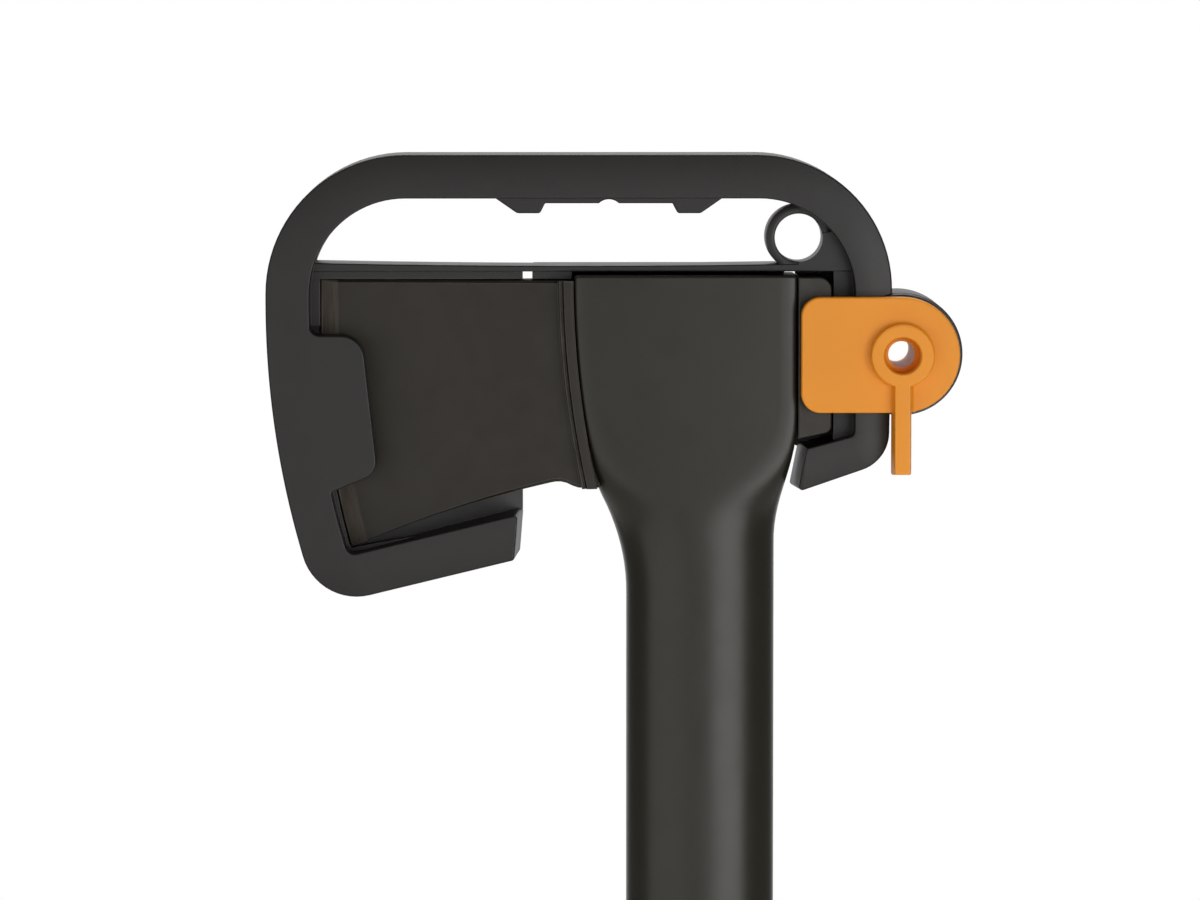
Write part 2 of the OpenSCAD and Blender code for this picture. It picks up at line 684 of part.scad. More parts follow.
module pad_plates(back) {
    lap = leg_w * 0.4;
    slab(back_pad, back) {
        polygon([[strip_left, rail_under], [strip_right, rail_under],
            [strip_right, rail_under - strip_h], [strip_left, rail_under - strip_h]]);
        polygon([[pad_left, rail_under], [inner_right, rail_under],
            [inner_right, hook_in.y], [hook_tip_x, hook_tip_in.y], [pad_left, hook_tip_in.y]]);
    }
    slab(back_reach - face_gap, back) {
        polygon([[strip_left, rail_top - rail_sag], [strip_right, rail_top - rail_sag],
            [strip_right, rail_under], [strip_left, rail_under]]);
        polygon([[pad_left, rail_under], [pad_left, rail_top - rail_sag],
            [inner_right + lap, rail_top - rail_sag], [inner_right + lap, hook_in.y - lap],
            [pad_left + lap, hook_tip_in.y - lap], [pad_left + lap, hook_tip_in.y], [inner_right, hook_in.y],
            [inner_right, rail_under]]);
    }
}

module rail() {
    n = 16;
    x0 = inner_left - rim_w / 5;
    x1 = inner_right + leg_w / 5;
    slab(-front_reach + front_reach / 12, back_reach)
        polygon(concat([[x1, rail_under], [x0, rail_under]],
            [for (i = [0 : n]) [x0 + (x1 - x0) * i / n, rail_top - rail_sag * sin(180 * i / n)]]));
}

module blade_carrier() {
    color("#373533") difference() {
        union() {
            slab(-front_reach, back_reach) rim_outline();
            slab(-front_reach * 5 / 6, back_reach * 5 / 6) grip_pad_outline();
            rail();
            blade_floor();
            tab();
            back_pads();
            along_y(ring_c, ring_hole_r + ring_wall, -ring_d / 2, ring_d / 2);
            slab(-web_d / 2, web_d / 2)
                polygon([ring_c, [inner_right + leg_w / 8, ring_c.y + ring_hole_r / 2],
                    [inner_right + leg_w / 8, rail_under], [ring_c.x, rail_under]]);
            along_y(pivot, lug_r, -front_reach, back_reach);
        }
        tip_cut(arm_tip_in, arm_tip_out, 1);
        tip_cut(hook_tip_in, hook_tip_out, -1);
        along_y([0, -notch_r], notch_r, -front_reach - 1, back_reach + 1);
        along_y(ring_c, ring_hole_r, -front_reach - 1, back_reach + 1);
        along_y(pivot, pivot_r + pivot_gap, -front_reach - 1, back_reach + 1);
    }
}

// ---- Lock ----

module flag_outline() {
    r = flag_corner_r;
    polygon(rounded([[0, flag_r, 0], [-flag_reach, flag_r, r], [-flag_reach, -flag_r, r], [0, -flag_r, 0]]));
    circle(r = flag_r);
}

module lever_outline() {
    w = lever_w / 2;
    root = -(eye_r + pivot_r) / 2;
    r = lever_w / 8;
    polygon(rounded([[-w, root, 0], [-w, -lever_len, r], [w, -lever_len, r], [w, root, 0]]));
}

module lock_lever() {
    top = flag_back + flag_t + boss_h;
    color("#dd933c") translate([pivot.x, 0, pivot.y]) difference() {
        union() {
            slab(-flag_back - flag_t, -flag_back) flag_outline();
            slab(-top + 0.6, -flag_back) lever_outline();
            along_y([0, 0], boss_r, -top, -flag_back);
            along_y([0, 0], pivot_r, -flag_back - eps, keeper_front + keeper_t);
        }
        along_y([0, 0], eye_r, -top - 1, -flag_back);
        along_y([0, 0], bore_r, -flag_back - 1, keeper_front + keeper_t + 1);
    }
}

module lock_keeper() {
    color("#dd933c") translate([pivot.x, 0, pivot.y]) difference() {
        along_y([0, 0], keeper_r, keeper_front, keeper_front + keeper_t);
        along_y([0, 0], pivot_r, keeper_front - 1, keeper_front + keeper_t + 1);
    }
}

axe_head();
handle_shell();
grip_sleeve();
end_cap();
blade_carrier();
lock_lever();
lock_keeper();
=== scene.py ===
"""Dresses the hatchet, its blade carrier and its quarter-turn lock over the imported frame."""

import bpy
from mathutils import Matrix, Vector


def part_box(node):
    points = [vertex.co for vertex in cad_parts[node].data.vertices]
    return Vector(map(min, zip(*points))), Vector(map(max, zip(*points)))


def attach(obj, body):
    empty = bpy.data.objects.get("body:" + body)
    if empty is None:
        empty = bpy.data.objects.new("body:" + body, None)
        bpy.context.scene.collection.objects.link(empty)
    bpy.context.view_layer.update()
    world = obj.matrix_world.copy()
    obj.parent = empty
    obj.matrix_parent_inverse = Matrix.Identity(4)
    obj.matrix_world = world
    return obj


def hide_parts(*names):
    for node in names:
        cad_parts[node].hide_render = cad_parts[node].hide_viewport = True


bl_info = {
    "name": "Hatchet in a blade carrier",
    "version": (1, 0, 0),
    "blender": (4, 5, 0),
    "location": "3D View > Sidebar > Hatchet",
    "description": "Builds a camping hatchet in its moulded blade carrier, with a quarter-turn lock",
    "category": "Object",
}

import math
import bpy
import bmesh
from bpy.props import FloatProperty, FloatVectorProperty, PointerProperty
from mathutils import Matrix, Vector

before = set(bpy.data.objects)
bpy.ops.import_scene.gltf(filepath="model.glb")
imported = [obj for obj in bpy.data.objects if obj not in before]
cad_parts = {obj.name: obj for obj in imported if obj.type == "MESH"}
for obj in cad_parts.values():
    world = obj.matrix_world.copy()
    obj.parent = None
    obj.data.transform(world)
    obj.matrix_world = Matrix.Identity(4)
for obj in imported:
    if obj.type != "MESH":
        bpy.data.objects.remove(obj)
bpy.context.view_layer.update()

MM = 0.001
# A gap or a step in millimetres that is too small to see, but keeps two faces apart
HAIR = 0.02
# A corner in millimetres that is as good as sharp
SHARP = 0.05
AXE = "carried_axe"
LOCK = "lock"


def corners_of(node):
    """Lowest and highest corners of a CAD node, in millimetres."""
    return [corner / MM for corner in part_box(node)]


HEAD_LOW, HEAD_HIGH = corners_of("axe_head")
SHELL_LOW, SHELL_HIGH = corners_of("handle_shell")
GRIP_LOW, GRIP_HIGH = corners_of("grip_sleeve")
CAP_LOW, CAP_HIGH = corners_of("end_cap")
KEEPER_LOW, KEEPER_HIGH = corners_of("lock_keeper")
CARRIER_HIGH = corners_of("blade_carrier")[1]
LEVER_LOW = corners_of("lock_lever")[0]

# ---- Sizes in millimetres, as the real object has them ----

# Head
EDGE_X, POLL_X, POLL_TOP = HEAD_LOW.x, HEAD_HIGH.x, HEAD_HIGH.z
WRAP_TOP = SHELL_HIGH.z
WRAP_W, BLADE_STEP = 55.9, 1.4
EDGE_LEN, EDGE_STRAIGHT, EDGE_R = 67.5, 13.0, 200.0
EDGE_TOP = WRAP_TOP - BLADE_STEP
POLL_H, POLL_HALF, POLL_SAG, POLL_RISE = 39.75, HEAD_HIGH.y, 0.9, math.radians(12.0)
POLL_UNDER = POLL_TOP - POLL_H
BEVEL_W, BEVEL_T, EDGE_T, CHEEK_T, CHEEK_HOLLOW = 4.2, 3.0, 0.3, 16.6, 1.1
LIP_W, LIP_T, LIP_DROP, SEAM = 3.9, 21.6, 16.0, 0.2
CORE_T, CORE_INSET, POLL_OUT = 15.0, 4.0, 8.6
BEARD_RISE, BEARD_BOW, BEARD_R = math.radians(18.0), 2.4, 6.0
WRAP_RIGHT = POLL_X - POLL_OUT
WRAP_LEFT = WRAP_RIGHT - WRAP_W
LIP_LEFT = WRAP_LEFT - SEAM - LIP_W
LIP_UNDER = POLL_UNDER - LIP_DROP
SWEEP_R = 240.0
EDGE_CENTRE = Vector((EDGE_X + EDGE_R, EDGE_TOP - EDGE_STRAIGHT))
EDGE_TURN = math.asin((EDGE_LEN - EDGE_STRAIGHT) / EDGE_R)
HEEL = Vector((EDGE_CENTRE.x - EDGE_R * math.cos(EDGE_TURN), EDGE_TOP - EDGE_LEN))
CHORD_LEAN = math.atan((HEEL.x - EDGE_X) / EDGE_LEN)
BEARD = Vector((LIP_LEFT + LIP_W / 4,
                HEEL.y + (LIP_LEFT + LIP_W / 4 - HEEL.x) * math.tan(BEARD_RISE)))

# Handle: its outline is an oval that grows square towards the wrap, by the power of the curve
POMMEL_Z, CAP_TOP = CAP_LOW.z, SHELL_LOW.z
GRIP_TOP, GRIP_BOTTOM, GRIP_T = GRIP_HIGH.z, GRIP_LOW.z, 1.6
WRAP_HALF, SHAFT_HALF, SHAFT_W = 12.0, 12.5, 37.3
NECK_LAP, NECK_H, NECK_IN, TOE_H = 3.2, 30.0, 5.45, 26.0
NECK_TOP = POLL_UNDER + NECK_LAP
WRAP_SQUARE, SHAFT_SQUARE, WRAP_CROWN = 30.0, 2.25, 0.06
SQUARE_LAP, SQUARE_H, SQUARE_FADE = 6.0, 42.0, 3
BELLY_UP, BELLY_W, FLARE_H = 105.0, 3.0, 52.0
POMMEL_HOOK, POMMEL_BACK, POMMEL_DEPTH = 13.0, 3.0, 3.0
POMMEL_ROUND_H, POMMEL_ROUND_W = 5.0, 5.5
WALL, CAVITY_DROP, SPIGOT_GAP = 4.2, 8.0, 0.05
CAVITY_TOP = NECK_TOP - NECK_H - CAVITY_DROP

# Carrier
FRONT, BACK, SHELF, LEDGE = -12.0, 12.0, -6.5, -2.5
SKIRT_FRONT, SKIRT_BACK, RECESS_FRONT, WEB_BACK = -4.0, 8.0, -5.0, 3.0
BAR_H, HAND_GAP, RAIL_T, RAIL_SAG = 11.0, 16.25, 2.25, 0.8
BAR_TOP = CARRIER_HIGH.z
BAR_UNDER = BAR_TOP - BAR_H
RAIL_TOP = BAR_UNDER - HAND_GAP
RAIL_UNDER = RAIL_TOP - RAIL_T
RIM_W, LEG_W, ARM_H, ARM_LEN, HOOK_H = 11.0, 9.8, 11.0, 43.0, 11.0
EDGE_GAP, POLL_GAP, HEEL_GAP, HOOK_GAP, THROAT_GAP = 2.75, 5.85, 1.2, 0.8, 2.4
INNER_LEFT, INNER_RIGHT = EDGE_X - EDGE_GAP, POLL_X + POLL_GAP
OUTER_LEFT, OUTER_RIGHT = INNER_LEFT - RIM_W, INNER_RIGHT + LEG_W
BAR_TURN_R, HEEL_R, HEEL_IN_R, HOOK_R = 24.0, 14.0, 2.4, 10.0
RIM_STRAIGHT = 5.6
RIM_LEAN, ARM_RISE, HOOK_RISE = math.radians(15.8), math.radians(13.6), math.radians(15.0)
TIP_R, TIP_DRAFT = 0.9, 1.5
FLOOR_T, FLOOR_LAP, RIB_N, RIB_T, PAD_T, STRIP_H, VENT_W = 2.6, 1.3, 3, 1.8, 2.3, 7.0, 2.4
TAB_H, TAB_START, TAB_COVER, TAB_CORNER_R, TAB_SLOPE = 34.5, 13.6, 8.8, 6.0, math.radians(21.0)
FACE_GAP, CHEEK_GAP = 0.3, 0.8
PAD_HALF, PAD_H, NOTCH_DEPTH, NOTCH_R = 16.6, 1.25, 1.0, 3.6
STOP_W, STOP_DROP, STOP_SLOPE = 6.4, 3.5, 5.4
RING_HOLE_R, RING_WALL, RING_INSET = 6.0, 2.3, 14.0
RING_CENTRE = Vector((INNER_RIGHT - RING_INSET, RAIL_TOP + RING_HOLE_R + RING_WALL / 10))

# Lock
PIVOT_BACK, PIVOT_DOWN = 17.4, 19.25
PIVOT = Vector((POLL_X + PIVOT_BACK, POLL_TOP - PIVOT_DOWN))
LUG_R, PIVOT_R, PIVOT_GAP = 15.4, 6.6, 0.08
FLAG_R, FLAG_REACH, FLAG_CORNER_R, FLAG_T = 14.5, 25.2, 4.8, 4.0
BOSS_R, EYE_R, BORE_R = 7.9, 4.4, 3.3
LEVER_LEN, LEVER_W, LEVER_DRAFT = 30.3, 4.8, 0.15
FLAG_BACK = FRONT - FACE_GAP
FLAG_FRONT = FLAG_BACK - FLAG_T
KEEPER_FRONT, KEEPER_BACK, KEEPER_R = KEEPER_LOW.y, KEEPER_HIGH.y, 10.5


# ---- Outlines and solids ----

def meet(p, a, q, b):
    """Where the line through p at angle a meets the line through q at angle b."""
    u = Vector((math.cos(a), math.sin(a)))
    v = Vector((math.cos(b), math.sin(b)))
    return p + u * ((q - p).cross(v) / u.cross(v))


def round_corners(*corners, eased=0.1):
    """An anticlockwise outline from corners given as x, z and radius; one with no radius is only eased."""
    places = [(Vector((x, z)), max(*radius, SHARP) if radius else eased) for x, z, *radius in corners]
    area = sum(places[i - 1][0].cross(places[i][0]) for i in range(len(places)))
    return places if area > 0 else places[::-1]


def rectangle(left, right, top, low, *low_radius):
    """An upright rectangle with eased corners, or with its lower ones rounded."""
    return round_corners((left, top), (right, top), (right, low, *low_radius), (left, low, *low_radius))


# Below this sine, two sides of an outline run on in one line
STRAIGHT = 0.05


def shrink(outline, d):
    """The outline moved in by d, one distance or a list for its sides; each round keeps its centre."""
    sides = d if isinstance(d, list) else [d] * len(outline)
    moved = []
    for i, (point, radius) in enumerate(outline):
        u = (point - outline[i - 1][0]).normalized()
        v = (outline[(i + 1) % len(outline)][0] - point).normalized()
        turn = u.cross(v)
        if abs(turn) > STRAIGHT:
            point = point + (v * sides[i - 1] - u * sides[i]) / turn
        else:
            point = point + Vector((-u.y - v.y, u.x + v.x)) * sides[i] / (1 + u.dot(v))
        radius -= math.copysign((sides[i - 1] + sides[i]) / 2, turn)
        moved.append((point, max(radius, HAIR)))
    return moved


def arc_counts(outline):
    """How many steps each corner of an outline is drawn with."""
    counts = []
    for i, (point, radius) in enumerate(outline):
        u = (point - outline[i - 1][0]).normalized()
        v = (outline[(i + 1) % len(outline)][0] - point).normalized()
        turn = u.angle(v)
        counts.append(max(2, math.ceil(turn / math.radians(7)), math.ceil(radius * turn / 2.4)))
    return counts


def trace(outline, counts):
    """The points of an outline, round each of its corners."""
    points = []
    for i, (point, radius) in enumerate(outline):
        u = (outline[i - 1][0] - point).normalized()
        v = (outline[(i + 1) % len(outline)][0] - point).normalized()
        half = u.angle(v) / 2
        centre = point + (u + v).normalized() * radius / math.sin(half)
        start = point + u * radius / math.tan(half) - centre
        end = point + v * radius / math.tan(half) - centre
        turn = math.atan2(start.cross(end), start.dot(end))
        for k in range(counts[i] + 1):
            points.append(centre + Matrix.Rotation(turn * k / counts[i], 2) @ start)
    return points


def stand(name, data):
    """A new object with the given data, in the scene."""
    thing = bpy.data.objects.new(name, data)
    bpy.context.scene.collection.objects.link(thing)
    return thing


def skin(name, loops, closed=False):
    """A solid through loops of points in millimetres, capped at its ends or closed on itself."""
    n = len(loops[0])
    verts = [Vector(p) * MM for loop in loops for p in loop]
    faces = []
    pairs = len(loops) if closed else len(loops) - 1
    for k in range(pairs):
        a, b = k * n, (k + 1) % len(loops) * n
        faces += [(a + i, b + i, b + (i + 1) % n, a + (i + 1) % n) for i in range(n)]
    if not closed:
        faces += [tuple(range(n)), tuple(range(len(verts) - 1, len(verts) - 1 - n, -1))]
    return closed_solid(name, verts, faces)


def closed_solid(name, verts, faces):
    """An object from vertices and faces, with doubled vertices joined and its normals turned out."""
    mesh = bpy.data.meshes.new(name)
    mesh.from_pydata(verts, [], faces)
    bm = bmesh.new()
    bm.from_mesh(mesh)
    bmesh.ops.remove_doubles(bm, verts=bm.verts, dist=1e-7)
    bmesh.ops.recalc_face_normals(bm, faces=bm.faces)
    bm.to_mesh(mesh)
    bm.free()
    return stand(name, mesh)


def moulding(name, outline, rings):
    """A moulded solid: each ring is how far the outline is drawn in and at what depth, front to back."""
    counts = arc_counts(outline)
    return skin(name, [[(p.x, y, p.y) for p in trace(shrink(outline, d), counts)] for d, y in rings])


def quarter(steps=4):
    """A rounded edge as shares of its radius: how far in it still is, and how far back it has come."""
    turns = [math.pi / 2 * k / steps for k in range(steps + 1)]
    return [(1 - math.sin(a), 1 - math.cos(a)) for a in turns]


def soft_rings(front, back, edge, back_edge=None):
    """Rings for a moulding with rounded edges in front and behind."""
    back_edge = edge if back_edge is None else back_edge
    return ([(edge * u, front + edge * v) for u, v in quarter()]
            + [(back_edge * v, back - back_edge * u) for u, v in quarter()])


def both_ways(profile):
    """A profile of radius and depth behind the middle, with its mirror image in front put first."""
    return [(radius, -y) for radius, y in profile] + profile[::-1]


def turned(name, centre, profile, closed=False, sides=72):
    """A solid turned about an axis along Y at centre, from radius and depth pairs."""
    spokes = [(math.cos(2 * math.pi * i / sides), math.sin(2 * math.pi * i / sides)) for i in range(sides)]
    loops = [[(centre.x + radius * c, y, centre.y + radius * s) for c, s in spokes] for radius, y in profile]
    return skin(name, loops, closed)


def bore(name, centre, radius, y0, y1, chamfer=0.3):
    """A cutter for a round hole along Y from face y0 to face y1, with its edges eased."""
    return turned(name, centre, [(radius + 2 * chamfer, y0 - chamfer), (radius, y0 + chamfer),
                                 (radius, y1 - chamfer), (radius + 2 * chamfer, y1 + chamfer)])


def plan_prism(name, points, z0, z1):
    """A prism whose outline is drawn from above, in X and Y."""
    return skin(name, [[(x, y, z) for x, y in points] for z in (z1, z0)])


def settle(solid):
    """Makes what a solid's modifiers give its own mesh."""
    bpy.context.view_layer.update()
    graph = bpy.context.evaluated_depsgraph_get()
    mesh = bpy.data.meshes.new_from_object(solid.evaluated_get(graph))
    solid.modifiers.clear()
    solid.data = mesh
    return solid


def combine(solid, operation, others):
    """Joins other solids to a solid, cuts them from it, or keeps what it shares with them."""
    for other in others:
        step = solid.modifiers.new(other.name, "BOOLEAN")
        step.operation = operation
        step.solver = "MANIFOLD"
        step.object = other
    settle(solid)
    for other in others:
        bpy.data.objects.remove(other)
    return solid


def dress(piece, name, material, body, slot, *nodes, sharp=34):
    """Finishes a piece: its shading, its material, the body it rides on and the nodes it stands for."""
    piece.name = name
    piece.data.name = name
    bm = bmesh.new()
    bm.from_mesh(piece.data)
    # The booleans leave a few slivers far shorter than any edge
    bmesh.ops.remove_doubles(bm, verts=bm.verts, dist=HAIR / 5 * MM)
    bmesh.ops.dissolve_degenerate(bm, edges=bm.edges, dist=HAIR / 10 * MM)
    bm.to_mesh(piece.data)
    bm.free()
    piece.data.materials.clear()
    piece.data.materials.append(material)
    piece.data.shade_smooth()
    piece.data.set_sharp_from_angle(angle=math.radians(sharp))
    weigh = piece.modifiers.new("Weighted normals", "WEIGHTED_NORMAL")
    weigh.keep_sharp = True
    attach(piece, body)
    for node in nodes:
        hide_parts(node)


# ---- Colours and materials ----

def linear(code):
    """The linear values that shaders read, from an sRGB hex value."""
    parts = [int(code[i:i + 2], 16) / 255 for i in (1, 3, 5)]
    return tuple(p / 12.92 if p <= 0.04045 else ((p + 0.055) / 1.055) ** 2.4 for p in parts)


def add(tree, kind, inputs=(), **settings):
    """Adds a node with its settings; its inputs are values, sockets to link from, or nodes to link from."""
    node = tree.nodes.new(kind)
    for key, value in settings.items():
        setattr(node, key, value)
    for key, value in dict(inputs).items():
        if isinstance(value, bpy.types.Node):
            value = next(socket for socket in value.outputs if socket.enabled)
        if isinstance(value, bpy.types.NodeSocket):
            tree.links.new(value, node.inputs[key])
        else:
            node.inputs[key].default_value = value
    return node


def per(size):
    """Texture scale at which a pattern's features are about the given size in millimetres."""
    return 1 / (size * MM)


def noise(tree, place, size, detail):
    """A cloudy pattern whose features are about size millimetres across."""
    return add(tree, "ShaderNodeTexNoise", {"Vector": place, "Scale": per(size), "Detail": detail})


def ramp(tree, value, start, end, low=0.0, high=1.0, **settings):
    """A value that goes from low to high as the given one goes from start to end, and no further."""
    return add(tree, "ShaderNodeMapRange", {"Value": value, "From Min": start, "From Max": end,
                                            "To Min": low, "To Max": high}, **settings)


def reckon(tree, operation, *inputs):
    """A calculation with numbers."""
    return add(tree, "ShaderNodeMath", enumerate(inputs), operation=operation)


def reckon_vectors(tree, operation, *inputs):
    """A calculation with vectors."""
    return add(tree, "ShaderNodeVectorMath", enumerate(inputs), operation=operation)


def scaled(tree, colour, tone):
    """A colour made lighter or darker."""
    return add(tree, "ShaderNodeVectorMath", {0: colour, "Scale": tone}, operation="SCALE")


def blend(tree, share, first, second, kind="RGBA"):
    """A mix of two colours, or of two numbers, by a share from 0 to 1."""
    return add(tree, "ShaderNodeMix", {"Factor": share, "A": first, "B": second}, data_type=kind)


def start_material(name):
    """A new material, its empty node tree, and the object coordinates that its patterns are laid on."""
    material = bpy.data.materials.new(name)
    material.use_nodes = True
    tree = material.node_tree
    tree.nodes.clear()
    return material, tree, add(tree, "ShaderNodeTexCoord").outputs["Object"]


def rubbed_and_highlit_edges(tree, place, width, most):
    """A mask of the edges, width millimetres broad and broken into patches of about 7 mm."""
    # Along an edge the rounded normal turns away from the flat one
    # The mask paints the edges paler, partly for wear and partly as a painted highlight
    rounded = add(tree, "ShaderNodeBevel", {"Radius": width * MM}, samples=4)
    flat = add(tree, "ShaderNodeNewGeometry")
    align = reckon_vectors(tree, "DOT_PRODUCT", rounded, flat.outputs["Normal"])
    rub = ramp(tree, align, 0.995, 0.86, 0, most)
    return reckon(tree, "MULTIPLY", rub, noise(tree, place, 7, 3))


def finish_material(tree, colour, rough, height, strength, depth, ior):
    """Shades a material, with a bump whose height is drawn depth millimetres deep."""
    bump = add(tree, "ShaderNodeBump", {"Height": height, "Strength": strength, "Distance": depth * MM})
    shader = add(tree, "ShaderNodeBsdfPrincipled", {"Base Color": colour, "Roughness": rough,
                                                    "Normal": bump, "IOR": ior})
    add(tree, "ShaderNodeOutputMaterial", {"Surface": shader})


def moulded(name, colour, worn_and_highlit, rough, grain, depth, ior):
    """Injection-moulded plastic: an even colour that drifts a little, a sparked grain, and paler edges that
    are partly rubbed and partly a painted highlight.

    rough and ior are the shader's own; grain is how wide the grain is drawn and depth how deep, in mm.
    """
    material, tree, place = start_material(name)
    # Flow in the mould drifts the tone over some 30 mm
    tone = ramp(tree, noise(tree, place, 30, 2), 0, 1, 0.9, 1.1)
    # Handling rubs the edges a little paler, and the same pale edges are a painted highlight where the
    # rounded edges catch the light
    edge = rubbed_and_highlit_edges(tree, place, 0.5, 0.55)
    rubbed_and_highlit = blend(tree, edge, scaled(tree, colour, tone), (*worn_and_highlit, 1))
    # Roughness wanders where fingers polish the grain, over about 9 mm
    gloss = ramp(tree, noise(tree, place, 9, 4), 0.2, 0.8, rough - 0.04, rough + 0.04)
    # The real spark grain is near 0.1 mm, too fine to show here, so it is drawn coarser
    pits = noise(tree, place, grain, 2)
    finish_material(tree, rubbed_and_highlit, gloss, pits, 0.5, depth, ior)
    return material


def coated_steel(name, colour, ground, bare_and_highlit):
    """Non-stick coated forged steel: a dark satin skin, with a ground bevel along the edge."""
    material, tree, place = start_material(name)
    # Distance from the cutting edge, in metres: straight at its top, then an arc
    centre = Vector((EDGE_CENTRE.x, 0, EDGE_CENTRE.y)) * MM
    offset = reckon_vectors(tree, "SUBTRACT", place, centre)
    below = reckon_vectors(tree, "MINIMUM", offset, (1, 1, 0))
    radius = reckon_vectors(tree, "LENGTH", reckon_vectors(tree, "MULTIPLY", below, (1, 0, 1)))
    inset = reckon(tree, "SUBTRACT", EDGE_R * MM, radius)
    band = ramp(tree, inset, (BEVEL_W + 0.25) * MM, (BEVEL_W - 0.25) * MM)
    # Grinding leaves fine streaks along the edge, drawn 0.3 mm apart and 7 mm long
    height = add(tree, "ShaderNodeSeparateXYZ", {"Vector": place})
    streak = add(tree, "ShaderNodeCombineXYZ", {"X": inset, "Z": height.outputs["Z"]})
    streaks = reckon_vectors(tree, "MULTIPLY", streak, (per(0.3), 0, per(7)))
    scratches = add(tree, "ShaderNodeTexNoise", {"Vector": streaks, "Scale": 1.0, "Detail": 3.0})
    streaky = scaled(tree, ground, ramp(tree, scratches, 0.35, 0.65, 0.75, 1.25))
    # The sprayed coating's tone drifts over some 22 mm
    coat = scaled(tree, colour, ramp(tree, noise(tree, place, 22, 3), 0, 1, 0.88, 1.12))
    # The coating is rubbed through to brighter steel along the edges, and the brighter edges also paint in
    # the highlight that the edges and chamfers catch
    edge = rubbed_and_highlit_edges(tree, place, 0.35, 1)
    rubbed_and_highlit = blend(tree, edge, blend(tree, band, coat, streaky), (*bare_and_highlit, 1))
    # Chopping polishes the cheeks in faint patches of about 5 mm
    gloss = ramp(tree, noise(tree, place, 5, 5), 0.3, 0.7, 0.4, 0.5)
    # The coating's orange peel, about 0.6 mm across, gives way to the streaks on the bevel
    relief = blend(tree, band, noise(tree, place, 0.6, 1), scratches, "FLOAT")
    finish_material(tree, rubbed_and_highlit, gloss, relief, 0.4, 0.03, 1.4)
    return material


# ---- Settings ----

def size(name, description, default):
    """A size that the user can change, with its default in millimetres."""
    return FloatProperty(name=name, description=description, default=default * MM,
                         unit="LENGTH", subtype="DISTANCE")


def paint(name, description, default):
    """A colour that the user can change, with its default as an sRGB hex value."""
    return FloatVectorProperty(name=name, description=description, default=linear(default),
                               subtype="COLOR", min=0, max=1)


def watts(name, description, default):
    """A lamp's power that the user can change, in watts."""
    return FloatProperty(name=name, description=description, default=default, unit="POWER")


class CarrierSettings(bpy.types.PropertyGroup):
    """Sizes and colours of the moulded blade carrier."""
    edge_round: size("Edge round", "Radius of the rim's outer edge in front", 0.6)
    inner_round: size("Inner round", "Radius of the rim's inner edge in front", 0.4)
    fall: size("Fall", "How far the rim's front falls back to its outer edge", 0.9)
    colour: paint("Colour", "Colour of the carrier's plastic", "#1a1816")
    # The rubbed colour also paints the highlight along the carrier's rounded edges
    worn_and_highlit: paint("Rubbed colour", "Colour of the carrier's rubbed edges", "#6a6864")


class HeadSettings(bpy.types.PropertyGroup):
    """Sizes and colours of the forged head."""
    soft_edge: size("Soft edge", "Chamfer along the top and the beard of the blade", 0.7)
    bead: size("Bead", "Width of the fine bead in front of the raised lip", 0.7)
    poll_taper: FloatProperty(name="Poll taper", description="Slope of the poll's cheeks towards the butt",
                              default=math.radians(4.5), subtype="ANGLE")
    colour: paint("Colour", "Colour of the coating", "#201a10")
    # The bare colour also paints the highlight along the head's edges and chamfers
    bare_and_highlit: paint("Bare colour", "Colour of the steel where the coating is rubbed off", "#7d7a74")
    ground: paint("Ground colour", "Colour of the ground bevel", "#4c453d")


class HandleSettings(bpy.types.PropertyGroup):
    """Sizes and colours of the moulded handle and of the groove that its end cap shares."""
    wrap_round: size("Wrap round", "Radius of the wrap's top edge", 0.7)
    groove: size("Groove", "Depth of the groove above the end cap", 0.5)
    colour: paint("Colour", "Colour of the handle's nylon", "#201e15")
    # The rubbed colour also paints the highlight along the handle's rounded edges
    worn_and_highlit: paint("Rubbed colour", "Colour of the handle's rubbed edges", "#63615c")


class GripSettings(bpy.types.PropertyGroup):
    """Sizes and colour of the soft grip and its raised lozenges."""
    row_pitch: size("Row pitch", "Distance between rows of lozenges", 5.0)
    pitch: size("Pitch", "Distance between lozenges in a row", 7.5)
    length: size("Length", "Length of a lozenge round the grip", 5.0)
    width: size("Width", "Width of a lozenge along the grip", 2.0)
    rise: size("Rise", "How far a lozenge stands out of the grip", 0.45)
    colour: paint("Colour", "Colour of the soft grip", "#262523")


class LockSettings(bpy.types.PropertyGroup):
    """Sizes of the quarter-turn lock, and the orange that it shares with the end cap."""
    edge_round: size("Edge round", "Radius of the lock's outer edges", 0.6)
    fillet: size("Fillet", "Radius at the foot of the raised ring and lever", 0.8)
    colour: paint("Colour", "Colour of the lock and the end cap", "#eb9426")
    # The rubbed colour also paints the highlight along the lock's and the cap's rounded edges
    worn_and_highlit: paint("Rubbed colour", "Colour of the lock's rubbed edges", "#f2b566")


class StageSettings(bpy.types.PropertyGroup):
    """The floor, the lamps and the camera."""
    floor_drop: size("Floor drop", "Distance of the floor below the pommel", 0.0)
    floor_radius: size("Floor radius", "Radius of the floor, which fades to white", 600.0)
    floor_colour: paint("Floor colour", "Colour of the studio floor", "#f4f3f1")
    key: watts("Key", "Power of the large lamp in front, on the right", 13.2)
    fill: watts("Fill", "Power of the large lamp in front, on the left", 7.4)
    sky: watts("Sky", "Power of the large lamp above and behind", 20.0)
    room: FloatProperty(name="Room", description="Level of the even light from the walls", default=0.2)
    distance: size("Camera distance", "Distance of the camera from the object", 1600.0)
    view_width: size("View width", "Width that the camera sees at the object", 302.2)


# ---- Carrier ----

